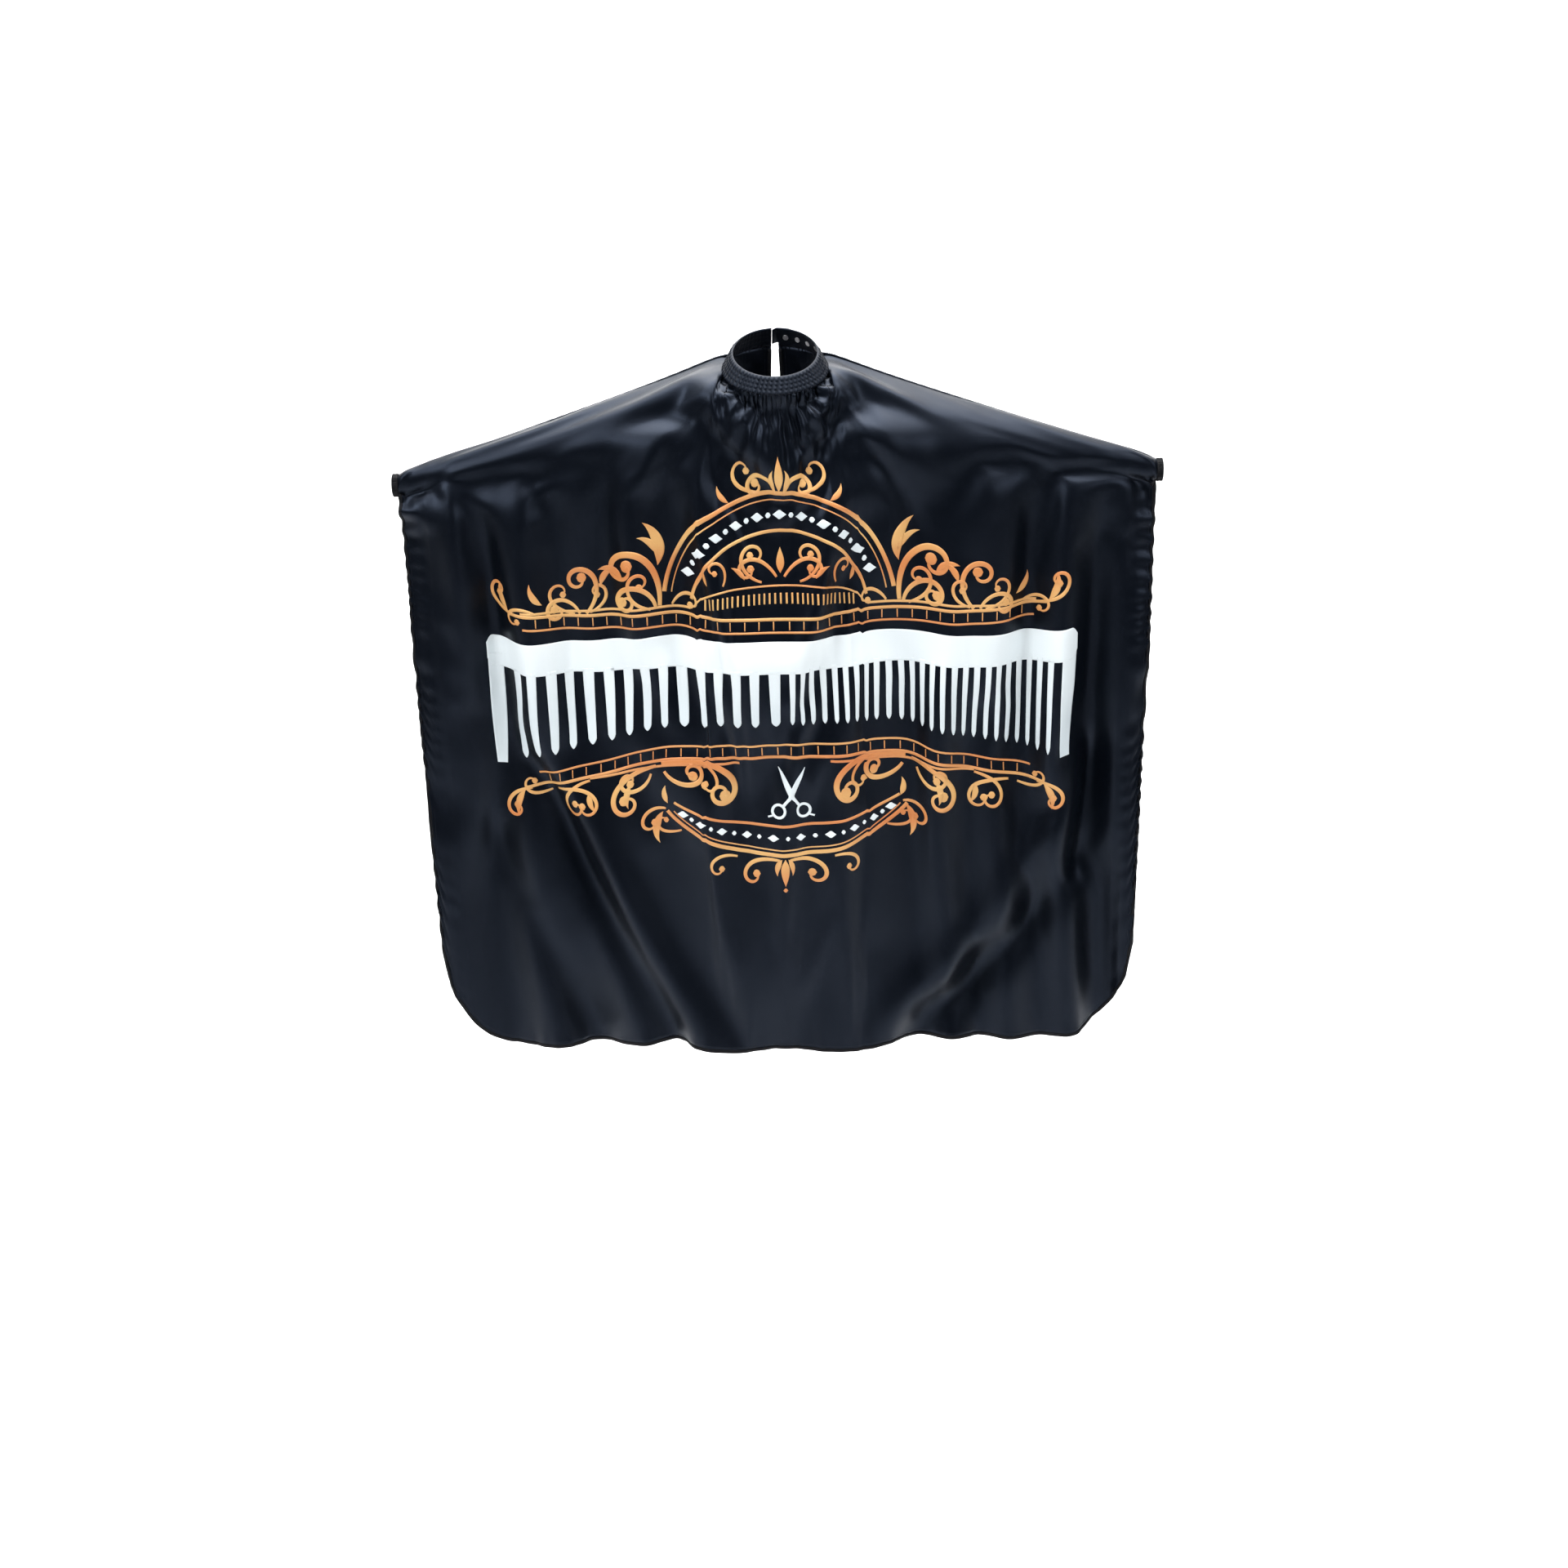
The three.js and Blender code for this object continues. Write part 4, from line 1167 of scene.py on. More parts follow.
def build_bindings():
    tape = material("Binding")
    for name in ("front", "left", "right"):
        path, facing = panel_edge(name)
        node = "front_binding" if name == "front" else f"back_binding_{name}"
        label = "front_tape" if name == "front" else f"back_tape_{name}"
        piece = binding_tape(label, path, facing, tape)
        rows = [panel_edge(name, 0.0046, out)[0] for out in (0.0012, -0.0012)]
        rows.append(panel_edge(name, 0.0105, 0.00035)[0])
        thread = stitches(f"{label}_stitches", rows, 0.0034, 0.0024)
        for part in (piece, thread):
            if name == "front":
                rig.ride(part, "cape")
            else:
                swing_with_flap(part, name)
        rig.replaces(piece, node)
        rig.slot(piece, "binding")
        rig.slot(thread, "thread")


def build_shoulder_seams():
    """The flat strip that covers each shoulder seam from the band to the cuff."""
    for name, side in (("left", -1), ("right", 1)):
        reach = np.linspace(0.0, 0.995, 150)
        path = np.array([ridge_point(r, side) for r in reach])
        normal = np.zeros_like(path)
        normal[:, 2] = 1.0
        normal, aside = path_frames(path, normal)
        bump = 0.0003 * np.sin(TAU * np.arange(len(path)) / 5.0)
        section = [(-0.0030, -0.0008), (-0.0034, -0.0002), (-0.0022, 0.0007), (0.0, 0.0011),
                   (0.0022, 0.0007), (0.0034, -0.0002), (0.0030, -0.0008), (0.0, -0.0004)]
        rings = np.stack([path + aside * a + normal * (b + bump * (b > 0))[:, None]
                          for a, b in section], axis=1)
        strip = swept(f"shoulder_seam_{name}", rings, material("Satin"))
        rows = [path + aside * a + normal * 0.0010 for a in (-0.0019, 0.0019)]
        thread = stitches(f"shoulder_stitches_{name}", rows, 0.0032, 0.0022, 0.00028)
        for part in (strip, thread):
            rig.ride(part, "cape")
        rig.slot(strip, "satin")
        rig.slot(thread, "thread")


def closed_shell(name, outer, inner, material):
    """A solid between two grids of points that face each other."""
    index = grid_index(*outer.shape[:2])
    points = np.concatenate([outer.reshape(-1, 3), inner.reshape(-1, 3)])
    obj = new_mesh_object(name, points, sheet_faces(index, index.size), material)
    outward(obj.data)
    fall = np.linspace(0, 0.03, outer.shape[1])
    along = run_length(outer[:, 0])
    uv = np.stack(np.broadcast_arrays(along[:, None], fall[None, :]), axis=-1).reshape(-1, 2)
    add_uv(obj.data, np.concatenate([uv, uv + 0.5]))
    return obj


BAND_HALF = 0.0018                     # half thickness of the band where it is flat
BAND_CHANNELS = 4


def build_neckband():
    """The shirred band: four puffed channels round the elastic, flat where the studs are set."""
    angle = np.linspace(-BAND_END, BAND_END, 1201)
    down = np.linspace(0.0, 1.04, 25)
    t, d = np.meshgrid(angle, down, indexing="ij")
    channel = np.clip(d, 0, 1) * BAND_CHANNELS
    puff = np.abs(np.sin(math.pi * channel)) ** 0.6
    gathered = 1 - smooth(100, 108, t) * 0.92
    shift = 0.9 * np.floor(np.clip(channel, 0, 3.99)) + 2.5 * ripple(51, 40, t / 360 + 0.5)
    wave = np.sin(TAU * (t / 360 * 66) + shift) * (0.65 + 0.35 * ripple(52, 90, t / 360 + 0.5))
    edge = np.minimum(smooth(-0.001, 0.06, d), smooth(-0.001, 0.06, 1.04 - d))
    out = BAND_HALF * (0.45 + 0.55 * edge) + gathered * (0.0011 * puff + 0.0017 * wave * puff) * edge
    inner = -BAND_HALF * (0.45 + 0.55 * edge) - gathered * (0.0004 * puff - 0.0003 * wave * puff) * edge
    sway = 0.0005 * gathered * wave * smooth(0.85, 1.04, d)
    band = closed_shell("neckband_satin", band_points(t, d, out + sway), band_points(t, d, inner + sway),
                        material("Shirred Satin"))
    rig.ride(band, "cape")
    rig.replaces(band, "neckband")
    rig.slot(band, "satin")
    rows = [band_points(angle, np.full_like(angle, k / BAND_CHANNELS), BAND_HALF + 0.0002)
            for k in range(1, BAND_CHANNELS)]
    foot = band_points(angle, np.full_like(angle, 0.985), BAND_HALF + 0.0002)
    thread = stitches("neckband_stitches", rows + [foot], 0.0030, 0.0021, 0.00028)
    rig.ride(thread, "cape")
    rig.slot(thread, "thread")
    seam_down = np.linspace(0.0, 1.0, 30)
    seam = band_points(np.full_like(seam_down, -8.0), seam_down, BAND_HALF + 0.0011)
    seam_thread = stitches("neckband_join", [seam], 0.0016, 0.0013, 0.0003)
    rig.ride(seam_thread, "cape")
    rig.slot(seam_thread, "thread")


TAB_ROOT, TAB_TIP, TAB_RISE = 183.4, 156.5, 7.0     # degrees round the neck
TAB_OUT = 0.0064                       # how far the tab lies outside the band's middle


def build_tab():
    """The closure tab: doubled satin with a stitched border, folding at its sewn root."""
    count, cross = 90, 17
    turn = np.linspace(TAB_ROOT, TAB_TIP, count)
    rise = smooth(0, TAB_RISE, TAB_ROOT - turn)
    tip = np.clip((5.0 - (turn - TAB_TIP)) / 5.0, 0, 1)
    top = 0.08 + 0.24 * (1 - np.sqrt(np.maximum(1 - tip ** 2, 0)))
    share = np.linspace(0, 1, cross)
    t = np.broadcast_to(turn[:, None], (count, cross))
    d = top[:, None] + (1 - 2 * top)[:, None] * share[None, :]
    border = np.minimum(share, 1 - share)[None, :]
    half = 0.0008 * (0.35 + 0.65 * smooth(0, 0.05, border + 0 * t))
    ribs = smooth(0.02, 0.1, border) * (1 - smooth(0.16, 0.22, border))
    half = half + 0.00012 * np.sin(TAU * t / 1.1) * ribs
    half = half - 0.0002 * np.exp(-((border - 0.12) / 0.03) ** 2)
    middle = (TAB_OUT * rise)[:, None]
    tab = closed_shell("closure_strap", band_points(t, d, middle + half), band_points(t, d, middle - half),
                       material("Satin"))
    rows = []
    for edge in (0.12, 0.88):
        line = top + (1 - 2 * top) * edge
        rows.append(band_points(turn[2:-4], line[2:-4], (TAB_OUT * rise + 0.0009)[2:-4]))
    thread = stitches("closure_stitches", rows, 0.0026, 0.0018, 0.00025)
    hinge = JOINTS["tab_hinge"]
    root, axis = np.array(hinge["pos_m"]), np.array(hinge["axis"])
    away = band_points(np.array([TAB_TIP]), np.array([0.5]), TAB_OUT)[0] - root
    away = unit(away - axis * (away @ axis))
    start = root - 0.002 * away
    for part in (tab, thread):
        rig.blend(part, "cape", "tab", tuple(start), tuple(start + 0.007 * away))
    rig.replaces(tab, "closure_tab")
    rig.slot(tab, "satin")
    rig.slot(thread, "thread")


def wrist_ring(x, radius, turn):
    """Points of a ring round the wrist's axis."""
    return np.stack([x + 0 * turn, radius * np.sin(turn), WRIST[2] + radius * np.cos(turn)], axis=-1)


def build_cuffs():
    """Each wrist's elastic: a covered ring drawn up into small even gathers."""
    for name, side in (("left", -1), ("right", 1)):
        turn = np.linspace(0, TAU, 420, endpoint=False)
        wave = np.sin(46 * turn + 1.4 * np.sin(5 * turn + side)) * (0.7 + 0.3 * np.sin(7 * turn + 2))
        section = [(-0.0058, 0.0002), (-0.0052, 0.0012), (-0.0020, 0.0016), (0.0000, 0.0009),
                   (0.0020, 0.0016), (0.0044, 0.0012), (0.0048, 0.0), (0.0044, -0.0010),
                   (0.0, -0.0008), (-0.0052, -0.0010)]
        rings = []
        for along, out in section:
            radius = CUFF_RADIUS + out + 0.00055 * wave * (1 if out > 0.0005 else 0.4)
            x = side * (abs(WRIST[0]) + along) + 0.0004 * wave * (abs(along) > 0.004)
            rings.append(wrist_ring(x, radius, turn))
        cuff = swept(f"cuff_{name}", np.stack(rings, axis=1), material("Elastic"), closed=True)
        line = wrist_ring(side * abs(WRIST[0]), CUFF_RADIUS + 0.0011, np.linspace(0, TAU, 121))
        thread = stitches(f"cuff_stitches_{name}", [line], 0.0026, 0.0018, 0.00026)
        for part in (cuff, thread):
            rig.ride(part, "cape")
        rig.replaces(cuff, f"wrist_elastic_{name}")
        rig.slot(cuff, "elastic")
        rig.slot(thread, "thread")


# ---------------------------------------------------------------- the print

INK_STEP = 0.0026                      # distance between the points of a stroke
INK_OUT = 0.00050                      # how far the ink's face stands from the middle of the cloth
INK_DEEP = 0.00034                     # thickness of the film
INK_SPREAD = 1.05                      # a line is printed a little wider than it hangs


def layout_terms(x, z):
    """All products of the two coordinates up to the third degree."""
    second = [x * x, x * z, z * z]
    third = [x ** 3, x * x * z, x * z * z, z ** 3]
    return np.stack([np.ones_like(x), x, z, *second, *third], axis=-1)


def to_flat(points):
    """The print is drawn as it hangs; this spreads it smoothly onto the flat cut."""
    if "layout" not in HUNG:
        flat, place = HUNG["front"][:2]
        x, z = place[..., 0], place[..., 2]
        printed = (z < -0.12) & (z > -1.0) & (np.abs(x) < 0.58)
        HUNG["layout"] = np.linalg.lstsq(layout_terms(x[printed], z[printed]), flat[printed], rcond=None)[0]
    points = np.asarray(points, float)
    return layout_terms(points[..., 0], points[..., 1]) @ HUNG["layout"]


def arc(x, z, half_width, height, start, end, count=90):
    turn = np.radians(np.linspace(start, end, count))
    return np.stack([x + half_width * np.sin(turn), z + height * np.cos(turn)], axis=-1)


def curl(x, z, heading, length, bend_start, bend_end, count=70):
    """A line that sets off at a heading and bends ever more tightly, in turns per metre."""
    share = np.linspace(0, 1, count)
    bend = bend_start + (bend_end - bend_start) * share ** 2
    step = length / (count - 1)
    turn = math.radians(heading) + np.concatenate([[0], np.cumsum(bend[1:] * TAU * step)])
    path = np.stack([np.cos(turn), np.sin(turn)], axis=-1) * step
    return np.concatenate([[[x, z]], np.array([x, z]) + np.cumsum(path[:-1], axis=0)])


def leaf_width(width, count, fullest=0.4):
    share = np.linspace(0, 1, count)
    t = np.where(share < fullest, share / fullest, (1 - share) / (1 - fullest))
    return np.maximum(width * np.sin(t * math.pi / 2), 0.0003)


def stem_width(width, count):
    swell = np.sin(np.pi * np.clip(np.linspace(0, 1, count) * 0.85 + 0.12, 0, 1))
    return np.maximum(width * (0.35 + (1 - 0.35) * swell), 0.0004)


class Drawing:
    """Brush strokes of one ink: each is a line and its width at each point."""

    def __init__(self):
        self.strokes = []

    def stroke(self, points, width, both=False):
        points = np.asarray(points, float)
        width = np.broadcast_to(np.asarray(width, float), (len(points),)).copy()
        self.strokes.append((points, width))
        if both:
            self.strokes.append((points * [-1, 1], width))

    def line(self, start, end, width, both=False):
        self.stroke(np.linspace(start, end, 12), width, both)

    def dot(self, x, z, radius, both=False):
        turn = np.linspace(0, math.pi, 9)
        points = np.stack([x - radius * np.cos(turn), np.full(9, z)], axis=-1)
        self.stroke(points, np.maximum(2 * radius * np.sin(turn), 0.0004), both)

    def lozenge(self, x, z, half, both=False):
        points = np.linspace([x - half, z], [x + half, z], 9)
        self.stroke(points, np.maximum(1.5 * half * (1 - np.abs(np.linspace(-1, 1, 9))), 0.0004), both)

    def scroll(self, x, z, heading, length, bend_start, bend_end, width):
        points = curl(x, z, heading, length, bend_start, bend_end)
        self.stroke(points, stem_width(width, len(points)), both=True)
        self.dot(points[-1, 0], points[-1, 1], width * 0.95, both=True)

    def leaf(self, x, z, heading, length, bend, width, both=True):
        points = curl(x, z, heading, length, bend, bend * 1.5, 30)
        self.stroke(points, leaf_width(width, len(points)), both)


ARCH_FOOT = -0.425
UPPER_RAIL, UPPER_BOW = -0.428, -0.016
LOWER_RAIL, LOWER_BOW = -0.668, 0.058
RAIL_HALF = 0.450
RIBBON = -0.735


def rail_height(x, centre, bow):
    return centre - bow * (x / RAIL_HALF) ** 2


def draw_gold():
    gold = Drawing()
    # crest over the arch
    gold.leaf(0, -0.218, 90, 0.056, 0, 0.015, both=False)
    gold.leaf(0.006, -0.218, 48, 0.038, 5.0, 0.010)
    gold.scroll(0.008, -0.222, 78, 0.120, -4.0, -23, 0.0078)
    gold.scroll(0.034, -0.222, 2, 0.110, 1.6, 19, 0.0066)
    gold.leaf(0.088, -0.238, 25, 0.036, 4.0, 0.009)
    # the arch: a heavy rim, a fine line within, an inner rim
    gold.stroke(arc(0, ARCH_FOOT, 0.195, 0.205, -80, 80), 0.0072)
    gold.stroke(arc(0, ARCH_FOOT, 0.183, 0.193, -80, 80), 0.0022)
    gold.stroke(arc(0, ARCH_FOOT, 0.150, 0.142, -80, 80), 0.0054)
    # scrollwork under the arch
    gold.leaf(0, -0.352, 90, 0.042, 0, 0.013, both=False)
    gold.scroll(0.006, -0.358, 60, 0.120, -2.0, -22, 0.0066)
    gold.scroll(0.030, -0.366, 15, 0.135, 3.0, 21, 0.0062)
    gold.scroll(0.094, -0.372, 118, 0.075, -4.5, -26, 0.0050)
    gold.leaf(0.058, -0.362, 65, 0.030, -4, 0.008)
    gold.leaf(0.122, -0.374, 60, 0.026, 4, 0.007)
    gold.stroke(arc(0, -0.412, 0.142, 0.040, -88, 88), 0.0030)
    for place in np.linspace(-0.128, 0.128, 31):
        top = -0.384 - 0.014 * (place / 0.13) ** 2
        gold.line((place, top), (place, top - 0.018), 0.0030)
    # shoulders beside the arch: tall volutes that step down to the rail
    gold.scroll(0.200, -0.412, 95, 0.215, -1.0, -14, 0.0105)
    gold.scroll(0.206, -0.414, 80, 0.165, -3.2, -20, 0.0085)
    gold.scroll(0.214, -0.416, 20, 0.120, 2.2, 20, 0.0066)
    gold.scroll(0.180, -0.412, 120, 0.070, 3.0, 26, 0.0058)
    gold.scroll(0.322, -0.416, 135, 0.165, -2.2, -18, 0.0085)
    gold.scroll(0.316, -0.414, 165, 0.090, -3.0, -26, 0.0058)
    gold.scroll(0.332, -0.416, 70, 0.125, -4.0, -23, 0.0068)
    gold.scroll(0.340, -0.416, 12, 0.100, 2.0, 22, 0.0056)
    gold.leaf(0.200, -0.345, 108, 0.080, -2.2, 0.018)
    gold.leaf(0.198, -0.330, 80, 0.050, -3.5, 0.011)
    gold.leaf(0.258, -0.360, 55, 0.046, -4.0, 0.012)
    gold.leaf(0.295, -0.372, 95, 0.040, 5.0, 0.011)
    gold.leaf(0.392, -0.396, 28, 0.044, 4.0, 0.011)
    gold.line((0.150, -0.416), (0.430, -0.409), 0.0040, both=True)
    # the two rail pairs that frame the comb
    across = np.linspace(-RAIL_HALF, RAIL_HALF, 150)
    for centre, bow, inner in ((UPPER_RAIL, UPPER_BOW, -1), (LOWER_RAIL, LOWER_BOW, 1)):
        gold.stroke(np.stack([across, rail_height(across, centre, bow)], axis=-1), 0.0050)
        inset = across * 0.95
        gold.stroke(np.stack([inset, rail_height(inset, centre, bow) + 0.022 * inner], axis=-1), 0.0034)
        for place in np.linspace(-0.405, 0.405, 36):
            z = rail_height(place, centre, bow)
            gold.line((place, z + 0.004 * inner), (place, z + 0.018 * inner), 0.0018)
        end = rail_height(RAIL_HALF, centre, bow)
        gold.scroll(0.440, end, -6 * inner, 0.110, -2.0 * inner, -23 * inner, 0.0066)
        gold.scroll(0.405, end - 0.002 * inner, -28 * inner, 0.080, 2.0 * inner, 25 * inner, 0.0054)
        gold.leaf(0.452, end - 0.004 * inner, -48 * inner, 0.050, -3.0 * inner, 0.012)
    # hanging scrolls under the lower rails
    gold.scroll(0.205, -0.686, 172, 0.250, 0.2, 16, 0.0105)
    gold.scroll(0.200, -0.700, 238, 0.130, -3.2, -21, 0.0082)
    gold.scroll(0.150, -0.680, 200, 0.090, 1.5, 22, 0.0060)
    gold.scroll(0.215, -0.690, -12, 0.190, -0.6, -16, 0.0090)
    gold.scroll(0.225, -0.704, -72, 0.120, 3.2, 22, 0.0070)
    gold.scroll(0.390, -0.722, 172, 0.130, 0.8, 18, 0.0066)
    gold.scroll(0.330, -0.706, -15, 0.130, -1.6, -20, 0.0064)
    gold.leaf(0.262, -0.720, -60, 0.044, -3.0, 0.011)
    gold.leaf(0.330, -0.726, -75, 0.038, -4.0, 0.010)
    gold.line((0.075, -0.678), (0.330, -0.702), 0.0040, both=True)
    # the lower ribbon and the drop beneath it
    gold.stroke(arc(0.005, RIBBON, 0.205, 0.056, 112, 248), 0.0046)
    gold.stroke(arc(0.005, RIBBON, 0.215, 0.108, 110, 250), 0.0064)
    gold.stroke(arc(0.005, RIBBON, 0.206, 0.099, 112, 248), 0.0022)
    gold.leaf(0.196, -0.758, 60, 0.034, 4.0, 0.010)
    gold.leaf(0.205, -0.774, -50, 0.060, -3.0, 0.014)
    gold.scroll(0.200, -0.768, 10, 0.090, -3.0, -22, 0.0062)
    gold.scroll(0.175, -0.806, -25, 0.070, 3.0, 26, 0.0050)
    gold.scroll(0.008, -0.852, 8, 0.115, -1.2, -21, 0.0070)
    gold.scroll(0.080, -0.846, 14, 0.085, -2.4, -24, 0.0056)
    gold.leaf(0, -0.850, -90, 0.048, 0, 0.014, both=False)
    gold.leaf(0.005, -0.850, -52, 0.032, -4.0, 0.009)
    gold.dot(0, -0.905, 0.0036)
    return gold


COMB_HALF = 0.505
COMB_SPINE = 0.052


def comb_top(x):
    return -0.466 + 0.006 * (x / COMB_HALF) ** 2


def comb_foot(x):
    return -0.611 - 0.078 * (x / COMB_HALF) ** 2


def draw_white():
    white = Drawing()
    # a wide comb: spine, end guards, coarse teeth on one half and fine teeth on the other
    across = np.linspace(-COMB_HALF, COMB_HALF, 240)
    ends = np.minimum(1, (COMB_HALF - np.abs(across)) / 0.012 + 0.25)
    spine = np.stack([across, comb_top(across) - COMB_SPINE / 2], axis=-1)
    white.stroke(spine, COMB_SPINE * np.sqrt(ends))
    guard = COMB_HALF - 0.014
    share = np.linspace(0, 1, 40)
    for place in (-guard, guard):
        run = np.linspace(comb_top(place) - 0.03, comb_foot(place), 40)
        white.stroke(np.stack([np.full(40, place), run], axis=-1), 0.028 - 0.010 * share ** 3)
    coarse = np.linspace(0.042 - guard, -0.012, 15)
    fine = np.linspace(0.014, guard - 0.032, 25)
    rounded = np.sqrt(np.clip((1 - share) * 14, 0.02, 1))
    for places, width in ((coarse, 0.0175), (fine, 0.0102)):
        for place in places:
            run = np.linspace(comb_top(place) - COMB_SPINE * 0.9, comb_foot(place), 40)
            white.stroke(np.stack([np.full(40, place), run], axis=-1), width * (1 - 0.28 * share) * rounded)
    # beads round the arch and along the ribbon
    for oval, turns, bead, half in (((0, ARCH_FOOT, 0.167, 0.168), (-66, 66, 21), 0.0046, 0.0110),
                                    ((0.005, RIBBON, 0.208, 0.078), (122, 238, 19), 0.0038, 0.0088)):
        for number, (x, z) in enumerate(arc(*oval, *turns)):
            if number % 2:
                white.dot(x, z, bead)
            else:
                white.lozenge(x, z, half)
    # open scissors
    pivot = np.array([0.012, -0.736])
    for hand in (-1, 1):
        tip = pivot + [0.024 * hand, 0.050]
        blade = np.linspace(pivot - [0.006 * hand, 0.011], tip, 24)
        white.stroke(blade, leaf_width(0.0096, 24, 0.25) + 0.0008)
        grip = pivot + [-0.022 * hand, -0.028]
        white.line(pivot, grip + [0.007 * hand, 0.009], 0.0050)
        turn = np.linspace(0, TAU, 40)
        ring = np.stack([grip[0] + 0.0105 * np.cos(turn), grip[1] + 0.0115 * np.sin(turn)], axis=-1)
        white.stroke(ring, 0.0044)
        white.line(grip + [-0.009 * hand, -0.008], grip + [-0.017 * hand, -0.011], 0.0030)
    white.dot(pivot[0], pivot[1], 0.0048)
    return white


def print_on_cloth(name, drawing, ink):
    """The drawing as a film of ink that lies on the hung front panel."""
    flats, blocks, count = [], [], 0
    for points, width in drawing.strokes:
        points, width = evened([to_flat(points), width[:, None]], INK_STEP)
        width = width[:, 0] * INK_SPREAD
        across = max(2, int(math.ceil(width.max() / 0.0032)) + 1)
        tangent = unit(np.gradient(points, axis=0))
        aside = np.stack([-tangent[:, 1], tangent[:, 0]], axis=-1)
        share = np.linspace(-0.5, 0.5, across)
        grid = points[:, None] + aside[:, None] * (width[:, None] * share[None, :])[..., None]
        flats.append(grid.reshape(-1, 2))
        blocks.append(count + grid_index(len(points), across))
        count += blocks[-1].size
    flat = np.concatenate(flats)
    upper = on_front(flat[:, 0], flat[:, 1], INK_OUT)
    lower = on_front(flat[:, 0], flat[:, 1], INK_OUT - INK_DEEP)
    faces = np.concatenate([sheet_faces(index, count) for index in blocks])
    obj = new_mesh_object(name, np.concatenate([upper, lower]), faces, ink)
    outward(obj.data)
    add_uv(obj.data, np.tile(flat, (2, 1)))
    return obj


def build_print():
    """The gold scrollwork and the white comb, beads and scissors, each in one ink."""
    gold = print_on_cloth("print_gold", draw_gold(), material("Gold Ink"))
    white = print_on_cloth("print_white", draw_white(), material("White Ink"))
    for piece, slot in ((gold, "print_gold"), (white, "print_white")):
        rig.ride(piece, "cape")
        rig.slot(piece, slot)


def build_snaps():
    """The press studs keep their turned shapes and take a plated finish; the elastic inside the band too."""
    for name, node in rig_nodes().items():
        if name.startswith("snap_"):
            finish_node(node, material("Nickel"))
        elif name == "neckband_elastic":
            finish_node(node, material("Elastic"))


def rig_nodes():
    return {obj["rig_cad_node"]: obj for obj in bpy.context.scene.objects if "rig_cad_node" in obj}


def finish_node(node, finish):
    if not node.material_slots:
        raise RuntimeError(f"{node.name} has no material slot")
    for slot in node.material_slots:
        slot.material = finish


def flat_area(flat):
    across = np.diff(flat, axis=0)[:, :-1]
    down = np.diff(flat, axis=1)[:-1]
    return float(np.abs(across[..., 0] * down[..., 1] - across[..., 1] * down[..., 0]).sum())


def declare_cloth(sizes):
    """States what each sheet was cut to and how it is held."""
    objects = bpy.data.objects
    flat = HUNG["front"][0]
    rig.sheet(objects["front_satin"], flat=(sizes.flat_width, -float(flat[..., 1].min())), held="hung",
             rests_on=["neckband_satin", "cuff_left", "cuff_right"], area=flat_area(flat),
             with_pieces=["front_tape", "front_tape_stitches", "print_gold", "print_white"])
    for side in ("left", "right"):
        flat = HUNG[side][0]
        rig.sheet(objects[f"back_satin_{side}"], flat=(BACK_HALF, -float(flat[..., 1].min())), held="hung",
                 rests_on=["neckband_satin", f"cuff_{side}"], area=flat_area(flat),
                 with_pieces=[f"back_tape_{side}", f"back_tape_{side}_stitches"])


# ---------------------------------------------------------------- the stage

LENS_MM, SENSOR_MM = 48.75, 36.0
EYE = (0.0, -3.55, 0.279)
PITCH, ROLL = 16.0, 1.2                # degrees down and degrees of tilt
FLOOR_Z, FLOOR_FRONT = -1.75, -6.0
COVE_START, COVE_RADIUS, COVE_STEPS = 1.6, 1.2, 12   # where the floor begins to curve up into the wall
WALL_TOP, STAGE_HALF = 4.5, 9.0


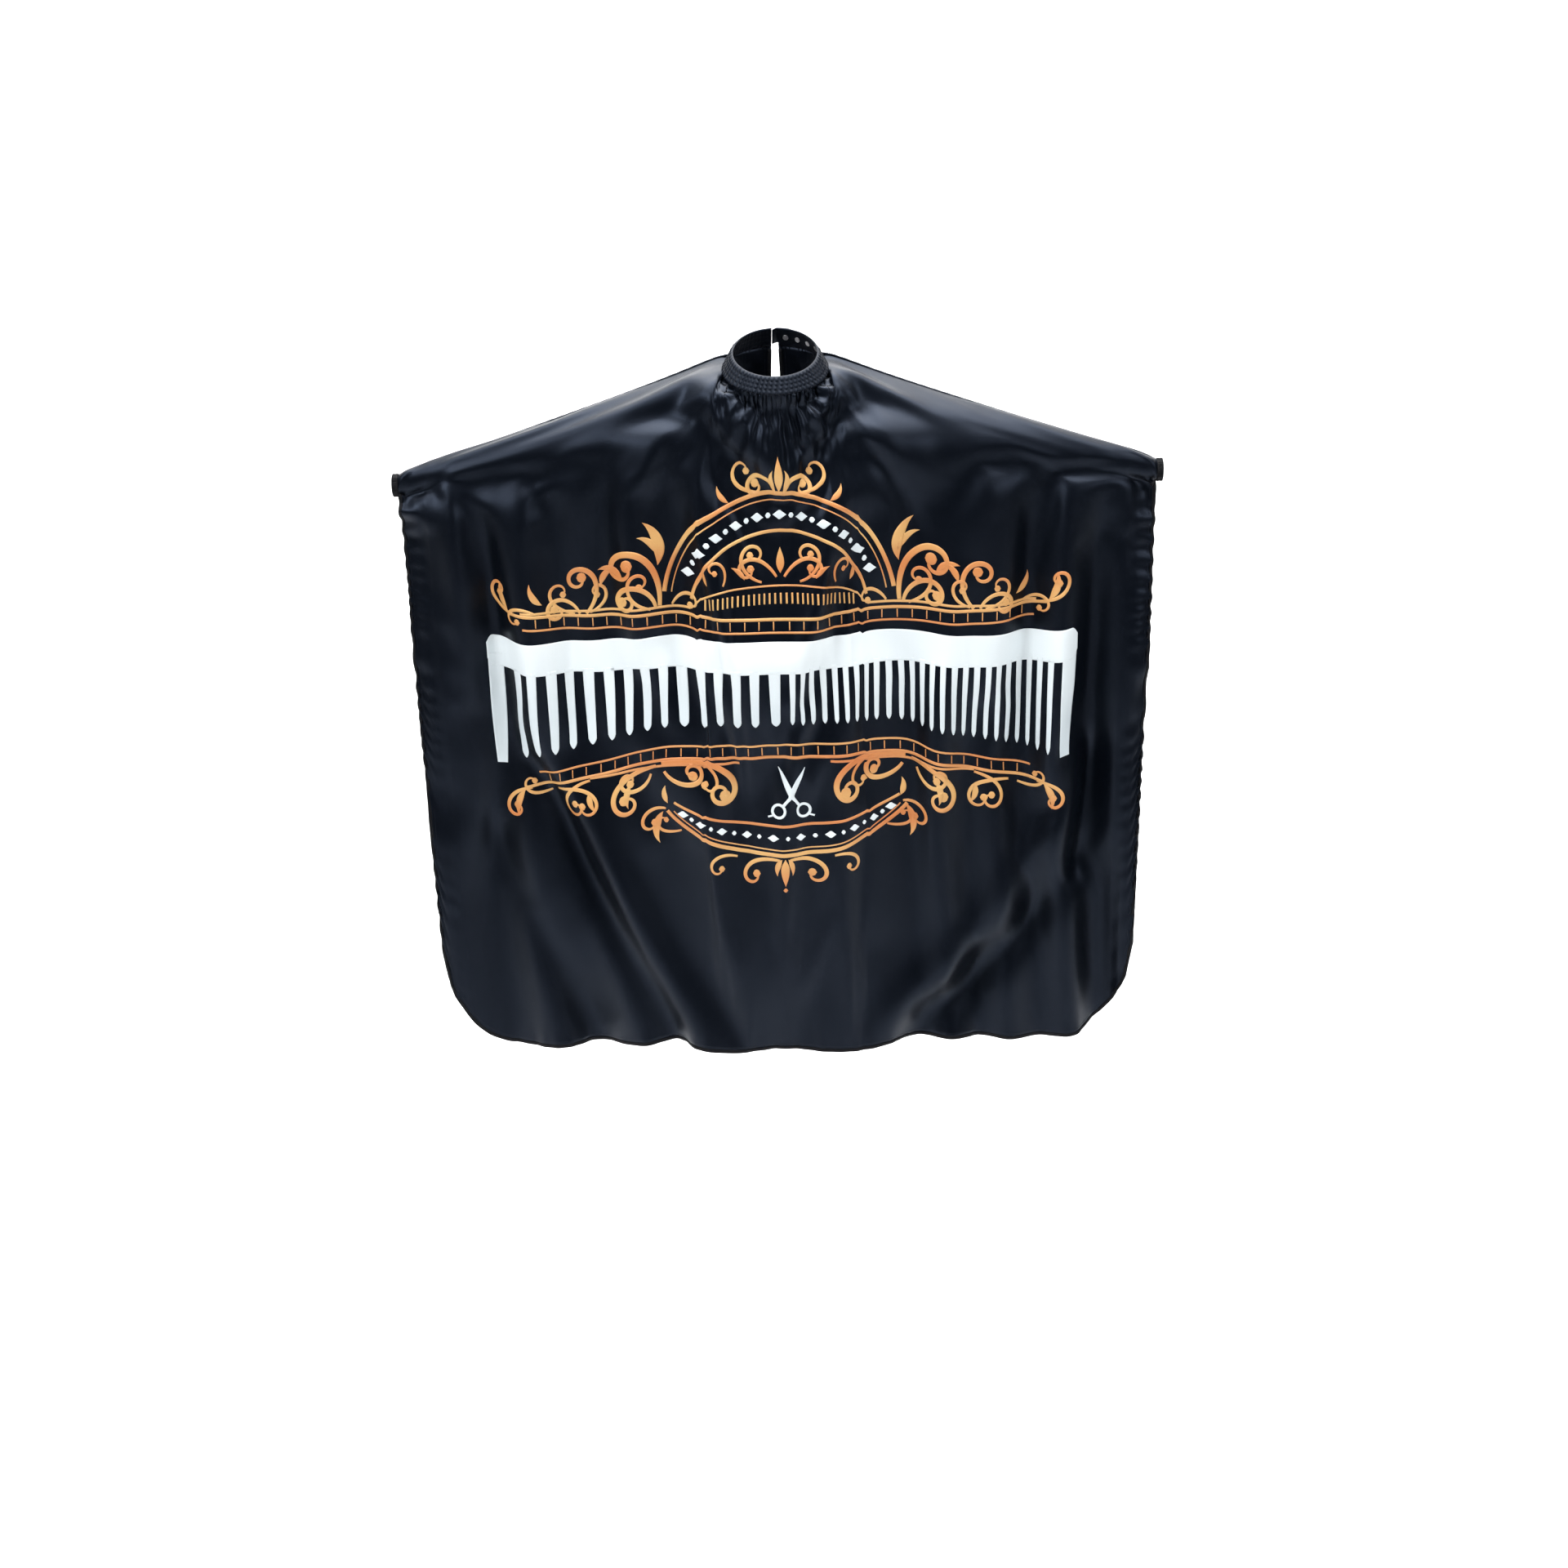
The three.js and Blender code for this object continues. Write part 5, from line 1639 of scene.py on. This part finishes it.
def build_stage():
    """A pale floor that curves up into a wall, soft lights and the camera."""
    scene = bpy.context.scene
    scene.view_settings.view_transform = "Standard"
    profile = [(FLOOR_FRONT, FLOOR_Z), (COVE_START, FLOOR_Z)]
    for step in range(1, COVE_STEPS + 1):
        turn = math.radians(90 * step / COVE_STEPS)
        profile.append((COVE_START + COVE_RADIUS * math.sin(turn),
                        FLOOR_Z + COVE_RADIUS * (1 - math.cos(turn))))
    profile.append((COVE_START + COVE_RADIUS, WALL_TOP))
    points = [(x, y, z) for y, z in profile for x in (-STAGE_HALF, STAGE_HALF)]
    faces = [(2 * k, 2 * k + 1, 2 * k + 3, 2 * k + 2) for k in range(len(profile) - 1)]
    pale = bpy.data.materials.new("Pale Floor")
    pale.use_nodes = True
    shader = pale.node_tree.nodes["Principled BSDF"]
    shader.inputs["Base Color"].default_value = (0.97, 0.97, 0.97, 1)
    shader.inputs["Roughness"].default_value = 0.9
    backdrop = new_mesh_object("backdrop", points, faces, pale)
    lights = [
        ("key_light", (-2.6, -2.2, 2.2), (0, 0, -0.5), 1.0, 96),
        ("fill_light", (2.8, -2.0, 1.4), (0, 0, -0.5), 1.0, 44),
        ("top_light", (0.0, -0.2, 2.8), (0, 0.0, -0.4), 1.6, 22),
        ("wall_light", (0.0, 0.9, 2.9), (0, 3.2, 0.2), 4.0, 310),
        ("floor_light", (0.0, 0.6, 2.9), (0, 1.0, -1.75), 3.5, 205),
    ]
    made = [backdrop]
    for name, place, target, size, power in lights:
        data = bpy.data.lights.new(name, "AREA")
        data.size, data.energy = size, power
        light = bpy.data.objects.new(name, data)
        scene.collection.objects.link(light)
        light.location = place
        light.rotation_euler = (Vector(target) - Vector(place)).to_track_quat("-Z", "Y").to_euler()
        made.append(light)
    world = bpy.data.worlds.new("Studio")
    scene.world = world
    world.use_nodes = True
    sky = world.node_tree.nodes["Background"].inputs
    sky[0].default_value, sky[1].default_value = (0.93, 0.95, 1.0, 1), 0.11
    lens = bpy.data.cameras.new("camera")
    lens.lens, lens.sensor_width = LENS_MM, SENSOR_MM
    camera = bpy.data.objects.new("camera", lens)
    scene.collection.objects.link(camera)
    pitch = math.radians(PITCH)
    look = Vector((0, math.cos(pitch), -math.sin(pitch)))
    turn = look.to_track_quat("-Z", "Y").to_matrix() @ Matrix.Rotation(math.radians(-ROLL), 3, "Z")
    camera.matrix_world = Matrix.Translation(EYE) @ turn.to_4x4()
    scene.camera = camera
    made.append(camera)
    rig.stage(*made)


# ---------------------------------------------------------------- operators and panel

def operator(name, label, text, work):
    """An operator that does one part of the build and stops with an error if that part fails."""

    def execute(self, context):
        work(context)
        return {"FINISHED"}

    return type(f"CAPE_OT_{name}", (bpy.types.Operator,), {
        "bl_idname": f"cape.{name}", "bl_label": label, "__doc__": text, "execute": execute,
    })


STEPS = [
    operator("finishes", "Finishes", "Make the satin, tape, elastic, thread, ink and metal finishes",
             lambda context: make_finishes(context.scene.satin)),
    operator("cloth", "Hung Satin", "Cut, sew and hang the front and back panels",
             lambda context: build_cloth(context.scene.satin)),
    operator("bindings", "Bound Edges", "Wrap and stitch the tape round the free edges",
             lambda context: build_bindings()),
    operator("seams", "Shoulder Seams", "Lay the strip over each shoulder seam",
             lambda context: build_shoulder_seams()),
    operator("neckband", "Neckband", "Make the shirred neckband",
             lambda context: build_neckband()),
    operator("tab", "Closure Tab", "Make the tab that closes the neckband",
             lambda context: build_tab()),
    operator("cuffs", "Cuffs", "Make the gathered wrist elastics",
             lambda context: build_cuffs()),
    operator("snaps", "Press Studs", "Give the press studs their plated finish",
             lambda context: build_snaps()),
    operator("print", "Print", "Print the front panel",
             lambda context: build_print()),
    operator("sheets", "Cloth Facts", "State how each panel was cut and how it is held",
             lambda context: declare_cloth(context.scene.satin)),
    operator("stage", "Stage", "Set the floor, the lights and the camera",
             lambda context: build_stage()),
]


class CAPE_PT_panel(bpy.types.Panel):
    """The build steps of the barber cape, in order"""

    bl_label = "Barber Cape"
    bl_idname = "CAPE_PT_panel"
    bl_space_type = "VIEW_3D"
    bl_region_type = "UI"
    bl_category = "Barber Cape"

    def draw(self, context):
        sizes = context.scene.satin
        for name in sizes.__annotations__:
            self.layout.prop(sizes, name)
        for step in STEPS:
            self.layout.operator(step.bl_idname)


CLASSES = [SatinSizes, *STEPS, CAPE_PT_panel]


def register():
    for cls in CLASSES:
        bpy.utils.register_class(cls)
    bpy.types.Scene.satin = PointerProperty(type=SatinSizes)


def unregister():
    del bpy.types.Scene.satin
    for cls in reversed(CLASSES):
        bpy.utils.unregister_class(cls)


def write_sizes():
    low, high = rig.bounds()
    sizes = {"cad": [CAD_LOW, CAD_HIGH], "visual": [list(low), list(high)]}
    with open("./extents.json", "w", encoding="utf-8") as file:
        json.dump(sizes, file, indent=1)


def main():
    register()
    for step in STEPS:
        group, name = step.bl_idname.split(".")
        if getattr(getattr(bpy.ops, group), name)() != {"FINISHED"}:
            raise RuntimeError(f"{step.bl_label} did not finish")
    write_sizes()


if __name__ == "__main__":
    main()
